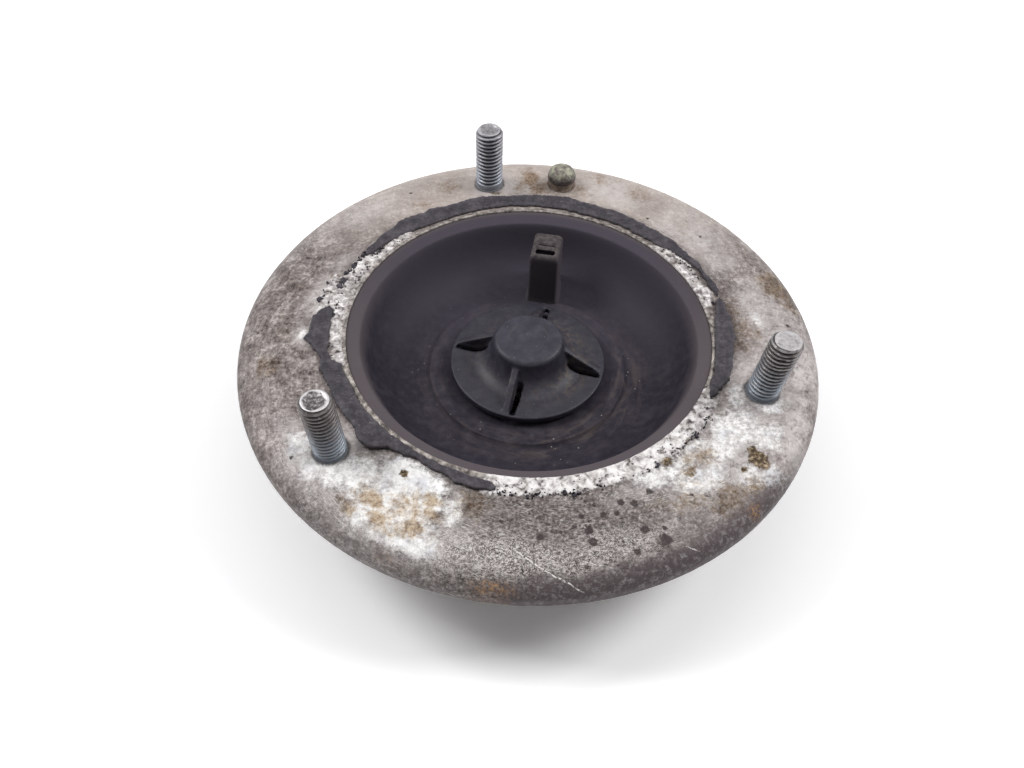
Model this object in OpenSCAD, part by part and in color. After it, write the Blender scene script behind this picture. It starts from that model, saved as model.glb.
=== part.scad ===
// Front strut top mount: an aluminium flange with three press-in studs and a locating pin, a bonded
// rubber dish, a bearing housing with a sealed ball bearing for the strut rod, and a push-in dust cap.
// Origin on the strut axis in the plane of the mounting face, +Z along the studs. Millimetres, degrees.

/* [Flange plate] */
// Outer diameter of the flange plate
flange_d = 152; // [146:1:164]
// Thickness of the flange plate
flange_t = 7.5; // [6.5:0.5:10]
// Radial width of the rounded outer edge
edge_w = 10; // [6:0.5:11]
// How far the rounded outer edge falls below the mounting face
edge_drop = 5; // [2:0.5:5]
// Radius of the lower outer corner
under_r = 1; // [0.5:0.25:1.25]
// Height of the bare metal bead around the dish opening
bead_h = 0.4; // [0.2:0.1:1]
// Width of the bare metal bead
bead_w = 0.6; // [0.4:0.1:1.2]

/* [Collar] */
// Diameter of the dish opening at the mounting face
dish_d = 95.6; // [92:0.2:98]
// Depth of the collar below the mounting face
collar_depth = 21; // [18:0.5:23]
// How far the inner wall of the collar draws in from top to bottom
collar_taper = 4; // [2:0.5:5]
// Wall of the collar
collar_wall = 4.5; // [3:0.25:5]
// Radius where the collar runs into the flange
collar_fillet = 2.5; // [1:0.25:3]

/* [Studs] */
// Number of studs
stud_count = 3; // [3:1:4]
// Diameter of the circle through the studs
stud_circle_d = 125; // [123:0.5:128]
// Direction of the first stud, anticlockwise from the right
stud_angle = 103.4; // [95:0.1:120]
// Thread diameter of a stud
stud_d = 8; // [6:0.5:9]
// Height of the studs above the mounting face
stud_reach = 19; // [14:0.5:26]
// Height of the chamfer at the tip of a stud
stud_tip = 1; // [0.5:0.1:1.5]
// Radial height of the knurl that holds a stud in the flange
knurl_h = 0.4; // [0.2:0.05:0.6]
// Height of the knurl that stands out of the mounting face
knurl_reach = 1.2; // [0.6:0.1:2]
// Number of knurl ridges around a stud
knurl_count = 18; // [12:1:24]
// Diameter of the stud head under the flange
stud_head_d = 13; // [11:0.5:13.5]
// Thickness of the stud head
stud_head_t = 3; // [2:0.25:4]

/* [Locating pin] */
// Diameter of the locating pin
pin_d = 8.5; // [7:0.25:10]
// Height of the pin above the mounting face
pin_reach = 6.5; // [5:0.25:10]
// Height of the domed end of the pin
pin_dome = 3.6; // [1:0.1:4]
// Diameter of the pin's shank in the flange
pin_shank_d = 6; // [4:0.25:6.5]
// Angle from the first stud to the pin, clockwise
pin_offset = 20.3; // [17:0.1:30]

/* [Seal skin] */
// Thickness of the seal skin left on the mounting face
skin_t = 0.9; // [0.5:0.1:1.5]
// Gap between the metal bead and the skin
skin_gap = 0.1; // [0:0.05:0.5]
// Width of the skin where it is whole
skin_w = 6; // [4:0.25:7]
// Depth of the ragged outer edge
skin_ragged = 0.6; // [0.2:0.1:1]

/* [Rubber dish] */
// Width of the lip inside the dish opening
lip_w = 4.4; // [3:0.2:6]
// How far the lip falls towards the bowl
lip_drop = 1.6; // [1:0.1:3]
// Radius of the lip's inner edge
lip_round = 1.4; // [0.8:0.1:2]
// Depth of the bowl floor below the mounting face
floor_depth = 15; // [13.5:0.25:16.5]
// Depth of the ring trough around the bowl floor
trough_drop = 1; // [0.4:0.1:1.2]
// Diameter of the raised pad around the cap
pad_d = 54; // [52:0.5:56]
// Width of the trough
trough_w = 2.5; // [1.5:0.25:4]
// Rubber between the trough and the underside
rubber_t = 5; // [4:0.25:6]
// Depth of the rubber's lower edge on the housing
rubber_low = 26; // [24:0.5:28]
// Width of the square lug in the bowl
lug_w = 8.5; // [6:0.25:11]
// Length of the lug along the radius
lug_l = 11.3; // [8:0.25:12]
// Distance from the strut axis to the lug's inner face
lug_r = 25.7; // [24.5:0.1:27]
// Height of the lug above the mounting face
lug_reach = 2; // [0:0.25:5]
// Length of the slot in the lug's top
lug_slot_l = 5.5; // [3:0.25:6]
// Width of the slot in the lug's top
lug_slot_w = 1.9; // [1:0.1:2.5]
// Depth of the slot in the lug's top
lug_slot_depth = 2.5; // [1:0.25:4]

/* [Bearing housing] */
// Outer diameter of the bearing housing
housing_d = 52; // [50:0.5:53]
// Depth of the housing's lower rim below the mounting face
base_depth = 33.5; // [33:0.5:38]
// Rubber over the top of the housing
cover_t = 1.5; // [1.25:0.25:2]
// Thickness of the housing's shoulder above the bearing
shoulder_t = 4; // [3.5:0.25:4.25]
// Diameter of the mouth that takes the dust cap
mouth_d = 34.6; // [33.5:0.1:35.5]

/* [Ball bearing] */
// Outer diameter of the outer race
bearing_d = 42; // [40.5:0.25:43]
// Width of the outer race
bearing_w = 10; // [9.5:0.1:10.4]
// Bore for the strut rod
rod_bore_d = 14.2; // [10.2:0.1:16.2]
// Diameter of a ball
ball_d = 6; // [5:0.1:6.4]
// Number of balls
ball_count = 12; // [8:1:13]
// Diameter of the circle through the ball centres
ball_circle_d = 30.4; // [29.8:0.1:31]
// Radial gap between the lands of the two races
land_gap = 4; // [3.4:0.1:4.4]
// Clearance between a ball and the grooves of the races
ball_clearance = 0.08; // [0.03:0.01:0.15]
// Clearance between a ball and its pocket in the cage
pocket_clearance = 0.15; // [0.05:0.05:0.3]
// Clearance of the cage and the shields from a race that turns past them
running_gap = 0.3; // [0.2:0.05:0.5]
// Thickness of a shield
shield_t = 0.8; // [0.5:0.1:1]
// Depth of a shield's groove in the outer race
shield_groove = 0.5; // [0.3:0.1:0.8]
// Depth of a shield below the face of the race
shield_inset = 0.2; // [0.1:0.05:0.4]
// Height of the inner race above the outer race
race_rise = 0.2; // [0:0.1:0.6]
// Depth of the inner race below the outer race
race_fall = 1.5; // [0.5:0.1:2]

/* [Retaining ring] */
// Thickness of the retaining ring
ring_t = 1.5; // [1:0.1:1.8]
// Depth of the ring's groove in the housing
ring_groove = 1.2; // [0.6:0.1:1.5]
// Width of the ring across its section
ring_w = 3; // [2:0.1:3.5]
// Angle of the opening between the ring's ends
ring_opening = 36; // [24:1:60]
// Diameter of the eye at each end
ring_eye_d = 6; // [5:0.1:6.5]
// Diameter of the plier hole in an eye
ring_hole_d = 2.2; // [1.5:0.1:2.5]

/* [Dust cap] */
// Diameter of the cap's flange
cap_d = 42; // [39:0.5:44]
// Thickness of the cap's flange
cap_flange_t = 1.8; // [1.2:0.1:2.4]
// Gap between the bowl floor and the cap's flange
cap_lift = 1.4; // [0.6:0.1:2.5]
// Height of the dome above the cap's flange
dome_h = 8; // [6:0.25:10]
// Diameter of the dome's foot
dome_foot_d = 30; // [27:0.5:31]
// Diameter of the dome's top
dome_top_d = 19; // [16:0.5:21]
// Radius of the dome's shoulder
dome_round = 1.6; // [1:0.1:2]
// Wall of the cap
cap_wall = 1.5; // [1:0.1:1.8]
// Width of the slot beside each of the cap's ribs
cap_slot_w = 1.5; // [1:0.1:5]
// Direction towards which the slots lie, anticlockwise from the right
cap_slot_turn = 33; // [15:1:45]
// Rim of the cap's flange outside the slots
cap_rim = 0.9; // [0.6:0.1:1.5]
// Thickness of the cap's ribs
cap_rib_t = 1.8; // [0.8:0.1:2.4]
// Number of ribs on the cap
cap_rib_count = 4; // [3:1:6]
// Direction of the first rib, anticlockwise from the right
cap_rib_angle = 78; // [60:1:100]
// Clearance of the cap's skirt in the mouth
cap_clearance = 0.15; // [0.05:0.01:0.3]
// How far the skirt reaches into the mouth of the housing
skirt_grip = 2.5; // [1.5:0.1:2.8]
// Diameter of the recessed disc on the dome
disc_d = 11; // [8:0.5:12]
// Depth of the recessed disc
disc_depth = 0.3; // [0.1:0.1:0.6]

/* [Hidden] */
// Clearance of pressed pieces in their holes
press_gap = 0.02;
// Overshoot of cuts past the faces that they open
over = 1;
// Steps in a round stretch of a profile
arc_steps = 8;
// Smoothness of the preview
$fn = 96;

// Radii
flange_r = flange_d / 2;
seat_r = flange_r - edge_w;
dish_r = dish_d / 2;
collar_low_r = dish_r - collar_taper;
stud_circle_r = stud_circle_d / 2;
stud_r = stud_d / 2;
knurl_r = stud_r + knurl_h;
pin_r = pin_d / 2;
skin_r = dish_r + bead_w + bead_h + skin_gap;
lip_r = dish_r - lip_w;
trough_r = pad_d / 2 + trough_drop + trough_w;
housing_r = housing_d / 2;
mouth_r = mouth_d / 2;
bearing_r = bearing_d / 2;
rod_r = rod_bore_d / 2;
ball_r = ball_d / 2;
ball_circle_r = ball_circle_d / 2;
inner_land_r = ball_circle_r - land_gap / 2;
outer_land_r = ball_circle_r + land_gap / 2;
groove_r = ball_r + ball_clearance;
cap_r = cap_d / 2;
foot_r = dome_foot_d / 2;
dome_r = dome_top_d / 2;
skirt_r = mouth_r - cap_clearance;

// Heights, all measured from the mounting face
floor_z = -floor_depth;
trough_z = floor_z - trough_drop;
lip_low_z = -lip_drop - lip_round;
housing_z = floor_z - cover_t;
race_z = housing_z - shoulder_t;
race_low_z = race_z - bearing_w;
ball_z = (race_z + race_low_z) / 2;
base_z = -base_depth;
cap_under_z = floor_z + cap_lift;
cap_top_z = cap_under_z + cap_flange_t;
dome_z = cap_top_z + dome_h;
skirt_z = housing_z - skirt_grip;

// The collar may not run under the stud heads
collar_outer_r = dish_r + collar_wall - collar_taper * flange_t / collar_depth;
head_room = stud_circle_r - stud_head_d / 2 - collar_outer_r;
fillet_r = min(collar_fillet, head_room);
foot_round = collar_wall / 2;

// Shape of the cap's ribs, slots and cavity
slot_in_r = dome_r + cap_wall;
slot_out_r = cap_r - cap_rim;
rib_top_z = dome_z - dome_round;
rib_inset = cap_flange_t / 6;
rib_ledge = 0.2;
flank_w = 1.2;
flank_rise = 0.8;

// Small features
stud_dimple_r = stud_r * 0.3;
stud_dimple_depth = stud_r * 0.12;
tip_taper = 0.7;
race_chamfer = 0.5;
housing_chamfer = 0.6;
cage_rise = ball_r * 0.3;
cage_floor = 0.6;
ridge_share = 0.45;
lug_slot_setback = 1.7;

// Pieces of the torn skin: first and last direction, and the share of the full width left at each
skin_pieces = [[47, 147, 0.85, 1], [-24, 16, 0.5, 0.65], [-184, -97, 1.05, 0.55]];
skin_step = 3;
skin_end_angle = 5;
skin_end_share = 0.45;

ball_names = [for (i = [1:ball_count]) str("ball_", i)];

// Points on an elliptical arc around c
function arc(c, rx, ry, from, to, steps = arc_steps) =
    [for (i = [0:steps]) let (a = from + (to - from) * i / steps) c + [rx * cos(a), ry * sin(a)]];

// Points on a curve that leaves p towards q and ends at s
function bend(p, q, s, steps = arc_steps) =
    [for (i = [0:steps]) let (t = i / steps) (1 - t) * (1 - t) * p + 2 * t * (1 - t) * q + t * t * s];

// A list without its first point
function rest_of(points) = [for (i = [1:len(points) - 1]) points[i]];

// A list from its end to its start
function backwards(points) = [for (i = [len(points) - 1:-1:0]) points[i]];

// Outer radius of a skin piece at direction a, with a torn edge that narrows at its ends
function skin_edge(piece, a) =
    let (t = (a - piece[0]) / (piece[1] - piece[0]),
        near_end = min(a - piece[0], piece[1] - a) / skin_end_angle,
        whole = skin_w * (piece[2] + (piece[3] - piece[2]) * t),
        ragged = skin_ragged * (sin(9 * a) + sin(23 * a + 40) + sin(41 * a)) / 3)
    skin_r + (whole + ragged) * min(1, skin_end_share + (1 - skin_end_share) * near_end);

// The dome's flank from its foot to its shoulder, moved inwards and down by d
function flank(d) =
    bend([foot_r - d, cap_top_z - d], [dome_r + flank_w - d, cap_top_z + flank_rise - d],
        [dome_r - d, dome_z - dome_round - d]);

module at_studs() {
    for (i = [0:stud_count - 1]) {
        rotate(stud_angle - i * 360 / stud_count) translate([stud_circle_r, 0, 0]) children();
    }
}

module at_pin() {
    rotate(stud_angle - pin_offset) translate([stud_circle_r, 0, 0]) children();
}

module turned(points) {
    rotate_extrude() polygon(points);
}

module ring(r_in, r_out, low, high) {
    turned([[r_in, low], [r_out, low], [r_out, high], [r_in, high]]);
}

module flange_plate() {
    edge = arc([seat_r, -edge_drop], edge_w, edge_drop, 90, 0);
    under = arc([flange_r - under_r, under_r - flange_t], under_r, under_r, 0, -90, 4);
    corner = arc([collar_outer_r + fillet_r, -flange_t - fillet_r], fillet_r, fillet_r, 90, 180);
    foot_at = [collar_low_r + collar_wall - foot_round, foot_round - collar_depth];
    foot = arc(foot_at, foot_round, foot_round, 0, -90);
    bead = [[dish_r, 0], [dish_r, bead_h], [dish_r + bead_w, bead_h], [dish_r + bead_w + bead_h, 0]];
    color("darkgray") difference() {
        turned(concat(bead, edge, under, corner, foot, [[collar_low_r, -collar_depth]]));
        at_studs() translate([0, 0, -flange_t - over])
            cylinder(r = knurl_r + press_gap, h = flange_t + 2 * over);
        at_pin() translate([0, 0, -flange_t - over])
            cylinder(d = pin_shank_d + 2 * press_gap, h = flange_t + 2 * over);
    }
}

module stud() {
    head_r = stud_head_d / 2;
    head_z = -flange_t - stud_head_t;
    turned([[0, head_z], [head_r, head_z], [head_r, -flange_t], [knurl_r, -flange_t], [knurl_r, 0],
        [stud_r, 0], [stud_r, stud_reach - stud_tip],
        [stud_r - tip_taper * stud_tip, stud_reach], [stud_dimple_r, stud_reach],
        [0, stud_reach - stud_dimple_depth]]);
    ridge_w = 2 * PI * stud_r / knurl_count * ridge_share;
    for (i = [0:knurl_count - 1]) {
        rotate(i * 360 / knurl_count) translate([stud_r - knurl_h, -ridge_w / 2, 0])
            cube([2 * knurl_h, ridge_w, knurl_reach]);
    }
}

module studs() {
    color("slategray") at_studs() stud();
}

module locating_pin() {
    shank_r = pin_shank_d / 2;
    shank = [[0, -flange_t], [shank_r, -flange_t], [shank_r, 0], [pin_r, 0]];
    dome = arc([0, pin_reach - pin_dome], pin_r, pin_dome, 0, 90);
    color("dimgray") at_pin() turned(concat(shank, dome));
}

module skin_piece(piece) {
    count = ceil((piece[1] - piece[0]) / skin_step);
    angles = [for (i = [0:count]) piece[0] + (piece[1] - piece[0]) * i / count];
    inner = [for (a = angles) skin_r * [cos(a), sin(a)]];
    outer = [for (a = angles) skin_edge(piece, a) * [cos(a), sin(a)]];
    linear_extrude(skin_t) polygon(concat(outer, backwards(inner)));
}

module seal_skin() {
    color("black") for (piece = skin_pieces) {
        skin_piece(piece);
    }
}

module lug() {
    rotate(stud_angle - pin_offset) difference() {
        translate([lug_r, -lug_w / 2, housing_z]) cube([lug_l, lug_w, lug_reach - housing_z]);
        translate([lug_r + lug_slot_setback, -lug_slot_l / 2, lug_reach - lug_slot_depth])
            cube([lug_slot_w, lug_slot_l, lug_slot_depth + over]);
    }
}

module rubber_bush() {
    mouth = mouth_r + cap_clearance;
    bowl = arc([trough_r, lip_low_z], lip_r - trough_r, lip_low_z - trough_z, -90, 0, 12);
    lip = arc([lip_r + lip_round, lip_low_z], lip_round, lip_round, 180, 90, 4);
    mid_z = trough_z - rubber_t;
    bend_z = 2 * mid_z + (collar_depth + rubber_low) / 2;
    bend_r = (collar_low_r + housing_r) / 2;
    under = bend([collar_low_r, -collar_depth], [bend_r, bend_z], [housing_r, -rubber_low]);
    color("dimgray") union() {
        turned(concat([[mouth, floor_z], [pad_d / 2, floor_z], [pad_d / 2 + trough_drop, trough_z]],
            bowl, rest_of(lip), [[dish_r, 0]], under, [[housing_r, housing_z], [mouth, housing_z]]));
        lug();
    }
}

module bearing_housing() {
    c = housing_chamfer;
    groove = [[bearing_r, race_low_z - ring_t], [bearing_r + ring_groove, race_low_z - ring_t],
        [bearing_r + ring_groove, race_low_z], [bearing_r, race_low_z]];
    color("gray") turned(concat([[mouth_r, race_z], [mouth_r, housing_z], [housing_r, housing_z],
        [housing_r, base_z + c], [housing_r - c, base_z], [bearing_r + c, base_z], [bearing_r, base_z + c]],
        groove, [[bearing_r, race_z]]));
}

module ball_groove() {
    rotate_extrude() translate([ball_circle_r, ball_z]) circle(r = groove_r);
}

module outer_race() {
    seat_r = outer_land_r + shield_groove;
    c = race_chamfer;
    color("lightgray") difference() {
        turned([[outer_land_r, race_low_z], [bearing_r - c, race_low_z], [bearing_r, race_low_z + c],
            [bearing_r, race_z - c], [bearing_r - c, race_z], [outer_land_r, race_z]]);
        ball_groove();
        for (low = [race_z - shield_inset - shield_t, race_low_z + shield_inset]) {
            translate([0, 0, low]) cylinder(r = seat_r, h = shield_t);
        }
    }
}

module inner_race() {
    top = race_z + race_rise;
    low = race_low_z - race_fall;
    c = race_chamfer;
    color("lightgray") difference() {
        turned([[rod_r + c, low], [inner_land_r - c, low], [inner_land_r, low + c], [inner_land_r, top - c],
            [inner_land_r - c, top], [rod_r + c, top], [rod_r, top - c], [rod_r, low + c]]);
        ball_groove();
    }
}

module at_ball(i) {
    rotate(i * 360 / ball_count) translate([ball_circle_r, 0, ball_z]) children();
}

module ball(i) {
    color("silver") at_ball(i) sphere(r = ball_r);
}

module ball_cage() {
    low = ball_z - ball_r - pocket_clearance - cage_floor;
    color("darkkhaki") difference() {
        ring(inner_land_r + running_gap, outer_land_r - running_gap, low, ball_z + cage_rise);
        for (i = [1:ball_count]) {
            at_ball(i) sphere(r = ball_r + pocket_clearance);
        }
    }
}

module shield(low) {
    seat_r = outer_land_r + shield_groove;
    color("dimgray") ring(inner_land_r + running_gap, seat_r - press_gap, low, low + shield_t);
}

module upper_shield() {
    shield(race_z - shield_inset - shield_t);
}

module lower_shield() {
    shield(race_low_z + shield_inset);
}

module retaining_ring() {
    outer = bearing_r + ring_groove - press_gap;
    eye_r = ring_eye_d / 2;
    eye_circle_r = bearing_r - eye_r - press_gap;
    half = ring_opening / 2;
    color("gray") translate([0, 0, race_low_z - ring_t]) difference() {
        union() {
            rotate(half) rotate_extrude(angle = 360 - ring_opening)
                translate([outer - ring_w, 0]) square([ring_w, ring_t]);
            for (a = [-half, half]) {
                rotate(a) translate([eye_circle_r, 0, 0]) cylinder(r = eye_r, h = ring_t);
            }
        }
        for (a = [-half, half]) {
            rotate(a) translate([eye_circle_r, 0, -over]) cylinder(d = ring_hole_d, h = ring_t + 2 * over);
        }
    }
}

module cap_shell() {
    shoulder = arc([dome_r - dome_round, dome_z - dome_round], dome_round, dome_round, 0, 90, 4);
    inside = backwards(flank(cap_wall));
    disc_r = disc_d / 2;
    disc_z = dome_z - disc_depth;
    skirt = [[skirt_r - cap_wall, cap_under_z], [skirt_r - cap_wall, skirt_z], [skirt_r, skirt_z],
        [skirt_r, cap_under_z], [cap_r, cap_under_z], [cap_r, cap_top_z]];
    disc = [[disc_r, dome_z], [disc_r - disc_depth, disc_z], [0, disc_z],
        [0, dome_z - dome_round - cap_wall]];
    turned(concat(skirt, flank(0), rest_of(shoulder), disc, inside));
}

// Direction of a rib, and the side of it that has the slot: 1 is clockwise
function rib_turn(i) = cap_rib_angle + i * 360 / cap_rib_count;
function slot_side(i) = cos(rib_turn(i) - cap_slot_turn) > 0 ? 1 : -1;

module cap_rib(side) {
    rim_r = slot_out_r + cap_rim / 2;
    rim = [[dome_r - cap_wall / 2, rib_top_z], [rim_r, cap_top_z - rib_inset],
        [rim_r, cap_under_z + rib_inset]];
    middle = side * (rib_ledge + cap_rib_t / 2);
    translate([0, middle + cap_rib_t / 2, 0]) rotate([90, 0, 0]) linear_extrude(cap_rib_t)
        polygon(concat(rim, flank(cap_wall / 2)));
}

module cap_slot(side) {
    middle = -side * cap_slot_w / 2;
    translate([slot_in_r, middle - cap_slot_w / 2, skirt_z - over])
        cube([slot_out_r - slot_in_r, cap_slot_w, dome_z - skirt_z + 2 * over]);
}

module dust_cap() {
    color("darkslategray") {
        difference() {
            cap_shell();
            for (i = [0:cap_rib_count - 1]) {
                rotate(rib_turn(i)) cap_slot(slot_side(i));
            }
        }
        for (i = [0:cap_rib_count - 1]) {
            rotate(rib_turn(i)) cap_rib(slot_side(i));
        }
    }
}

flange_plate();
studs();
locating_pin();
seal_skin();
rubber_bush();
bearing_housing();
outer_race();
inner_race();
ball_cage();
upper_shield();
lower_shield();
retaining_ring();
dust_cap();
for (i = [1:ball_count]) {
    ball(i);
}
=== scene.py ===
import math

import bpy
import numpy as np
from mathutils import Matrix, Vector


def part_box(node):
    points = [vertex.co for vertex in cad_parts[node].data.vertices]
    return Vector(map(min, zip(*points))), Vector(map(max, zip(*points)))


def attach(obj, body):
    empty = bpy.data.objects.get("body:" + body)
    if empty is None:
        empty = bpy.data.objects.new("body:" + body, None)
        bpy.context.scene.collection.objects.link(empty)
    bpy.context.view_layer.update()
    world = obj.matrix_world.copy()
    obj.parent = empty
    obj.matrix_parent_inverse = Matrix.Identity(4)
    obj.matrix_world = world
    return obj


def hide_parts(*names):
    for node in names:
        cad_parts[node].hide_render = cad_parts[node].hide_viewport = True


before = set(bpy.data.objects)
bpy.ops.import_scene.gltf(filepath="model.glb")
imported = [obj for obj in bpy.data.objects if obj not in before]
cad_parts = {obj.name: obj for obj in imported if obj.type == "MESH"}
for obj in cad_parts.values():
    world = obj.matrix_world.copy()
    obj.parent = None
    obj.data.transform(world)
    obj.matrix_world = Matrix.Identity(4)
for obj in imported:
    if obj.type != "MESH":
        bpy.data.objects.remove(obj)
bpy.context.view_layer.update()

# One millimetre in metres: sizes below are in millimetres, angles in degrees
MM = 0.001
WHITE = (1.0, 1.0, 1.0)


def span(node):
    """Lowest and highest corner of a solid, in millimetres."""
    low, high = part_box(node)
    return np.array(low) / MM, np.array(high) / MM


# Flange
FLANGE_LOW, FLANGE_HIGH = span("flange_plate")
FLANGE_R = FLANGE_HIGH[0]
BEAD_H = FLANGE_HIGH[2]
COLLAR_Z = FLANGE_LOW[2]
FLANGE_T = 7.5
EDGE_W = 10.0
EDGE_DROP = 5.0
UNDER_R = 1.0
DISH_R = 47.8
BEAD_W = 0.6
COLLAR_TAPER = 4.0
COLLAR_WALL = 4.5
COLLAR_FILLET = 2.5
COLLAR_LOW_R = DISH_R - COLLAR_TAPER

# Studs and pin
STUD_LOW, STUD_HIGH = span("studs")
STUD_CIRCLE_R = 62.5
STUD_R = 4.0
STUD_REACH = STUD_HIGH[2]
THREAD_PITCH = 1.25
THREAD_DEPTH = 0.8
KNURL_R = 4.4
KNURL_REACH = 1.2
KNURL_COUNT = 18
STUD_TIP = 1.0
TIP_SLOPE = 0.85
HEAD_R = 6.5
LEAN_PIVOT = 12.0
PIN_ANGLE = 83.1
PIN_R = 4.25
PIN_REACH = span("locating_pin")[1][2]
PIN_DOME = 3.6
PIN_SHANK_R = 3.0

# The studs at the back, right and left: direction, lean outwards, share of the dimple's depth, paleness of
# the tip, strength of the tip's stained centre, bluish painted light over the whole stud and wear of the
# crests
STUDS = (
    (103.4, 0.5, 0.8, 0.3, 0.6, 0.9, 1.0),
    (-16.6, 5.5, 0.1, 0.5, 0.15, 0.0, 0.85),
    (-136.6, 3.5, 1.0, 0.95, 1.0, 0.0, 0.4),
)

# Rubber dish
LIP_R = DISH_R - 4.4
LIP_END = (44.6, -1.55)
LIP_PULL = (43.0, -2.35)
BOWL_PULL_R = 42.0
FLOOR_Z = -15.0
TROUGH_DROP = 1.0
PAD_R = 27.0
TROUGH_R = PAD_R + TROUGH_DROP + 2.5
RUBBER_T = 5.0
RUBBER_LOW = span("rubber_bush")[0][2]
HOUSING_LOW, HOUSING_HIGH = span("bearing_housing")
HOUSING_R = HOUSING_HIGH[0]
HOUSING_Z = HOUSING_HIGH[2]
MOUTH_R = 17.45
LUG_R = 25.7
LUG_L = 11.3
LUG_W = 8.5
LUG_TOP = span("rubber_bush")[1][2]

# Seal skin
SKIN_T = span("seal_skin")[1][2]

# Steps round a full turn and along a stud's shank
FLANGE_STEPS = 720
DISH_STEPS = 360
STUD_STEPS = 48
SHANK_STEPS = 200
PIN_STEPS = 56


# Noise


def smooth(low, high, x):
    """Smooth step from 0 at low to 1 at high; low may be the larger."""
    t = np.clip((x - low) / (high - low), 0, 1)
    return t * t * (3 - 2 * t)


def lattice(ix, iy, iz, seed):
    """A repeatable number from 0 to 1 at each lattice point."""
    h = (ix * 374761393 + iy * 668265263 + iz * 1442695041 + seed * 1013904223) & 0xFFFFFFFF
    h = ((h ^ (h >> 13)) * 1274126177) & 0xFFFFFFFF
    h = ((h ^ (h >> 15)) * 1103515245) & 0xFFFFFFFF
    return ((h >> 8) & 0xFFFF) / 65535


def value_noise(x, y, z, size, seed):
    """Smooth noise from 0 to 1 with features of that size."""
    x, y, z = x / size, y / size, z / size
    ix, iy, iz = (np.floor(v).astype(np.int64) for v in (x, y, z))
    fx, fy, fz = (smooth(0, 1, v - i) for v, i in ((x, ix), (y, iy), (z, iz)))
    total = 0
    for dx, wx in ((0, 1 - fx), (1, fx)):
        for dy, wy in ((0, 1 - fy), (1, fy)):
            for dz, wz in ((0, 1 - fz), (1, fz)):
                total = total + wx * wy * wz * lattice(ix + dx, iy + dy, iz + dz, seed)
    return total


def fractal(x, y, z, size, seed, octaves=4):
    """Layered noise from about 0 to 1, its largest features of that size."""
    total, weight, norm = 0, 1, 0
    for octave in range(octaves):
        total = total + weight * value_noise(x, y, z, size / 2**octave, seed + octave)
        norm += weight
        weight *= 0.55
    return total / norm


def swing(x, y, z, size, seed, octaves=4):
    """Layered noise about 0, from about -0.5 to 0.5."""
    return fractal(x, y, z, size, seed, octaves) - 0.5


def turn_from(az, middle):
    """Signed angle from a direction, between -180 and 180."""
    return (az - middle + 180) % 360 - 180


def at(az, r):
    """Points in the plan at directions and radii."""
    return r * np.cos(np.radians(az)), r * np.sin(np.radians(az))


def patches(x, y, places, ragged, edge):
    """The strongest of several ragged ovals: direction, radius, half length, half width and strength."""
    found = np.zeros_like(x)
    for az, r, along, across, strength in places:
        ux, uy = at(az, 1)
        away = np.hypot((y * ux - x * uy) / along, (x * ux + y * uy - r) / across) + ragged
        found = np.maximum(found, strength * smooth(1 + edge, 1 - edge, away))
    return found


# Meshes


def arc(cx, cy, rx, ry, start, end, steps):
    """Points along an elliptical arc."""
    a = np.radians(np.linspace(start, end, steps + 1))
    return np.stack([cx + rx * np.cos(a), cy + ry * np.sin(a)], axis=1)


def line(start, end, step):
    """Points along a straight line, about a step apart."""
    count = max(1, int(round(math.dist(start, end) / step)))
    t = np.linspace(0, 1, count + 1)[:, None]
    return np.array(start) * (1 - t) + np.array(end) * t


def bezier(corners, count):
    """Points along a Bezier curve with these corners."""
    degree = len(corners) - 1
    t = np.linspace(0, 1, count)[:, None]
    return sum(math.comb(degree, i) * (1 - t) ** (degree - i) * t**i * np.array(corner)
               for i, corner in enumerate(corners))


def outline(*stretches):
    """Joins stretches into one list of points and drops doubled ones."""
    points = np.concatenate([np.asarray(s, float).reshape(-1, 2) for s in stretches])
    keep = np.r_[True, np.linalg.norm(np.diff(points, axis=0), axis=1) > 1e-4]
    return points[keep]


def section_normals(points):
    """Normals to the left of a closed section's direction of travel, the outside of the sections here."""
    d = np.roll(points, -1, axis=0) - np.roll(points, 1, axis=0)
    d /= np.linalg.norm(d, axis=1)[:, None] + 1e-12
    return np.stack([-d[:, 1], d[:, 0]], axis=1)


def ring_angles(steps):
    """Evenly spaced directions round a full turn."""
    return np.arange(steps) * 360 / steps - 180


def revolve(section, steps):
    """A section turned about the axis, as grids of direction, radius, height, x and y."""
    az = ring_angles(steps)[None, :] + 0 * section[:, :1]
    r, z = section[:, :1] + 0 * az, section[:, 1:] + 0 * az
    return az, r, z, *at(az, r)


def grid_faces(rows, cols, close_rows):
    """Quads of a grid whose columns run round in a ring."""
    r = np.arange(rows if close_rows else rows - 1)
    rr, cc = np.meshgrid(r, np.arange(cols), indexing="ij")
    r2, c2 = (rr + 1) % rows, (cc + 1) % cols
    quads = np.stack([rr * cols + cc, rr * cols + c2, r2 * cols + c2, r2 * cols + cc], axis=-1)
    return quads.reshape(-1, 4)


def show(name, data):
    """A new object in the scene."""
    made = bpy.data.objects.new(name, data)
    bpy.context.scene.collection.objects.link(made)
    return made


def dress(mesh, material, masks):
    """Gives a mesh masks at its points, smooth faces and a material."""
    for name, values in masks.items():
        layer = mesh.attributes.new(name, "FLOAT", "POINT")
        layer.data.foreach_set("value", values.astype(np.float32))
    mesh.polygons.foreach_set("use_smooth", np.ones(len(mesh.polygons), bool))
    mesh.materials.clear()
    mesh.materials.append(material)
    mesh.update()


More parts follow.
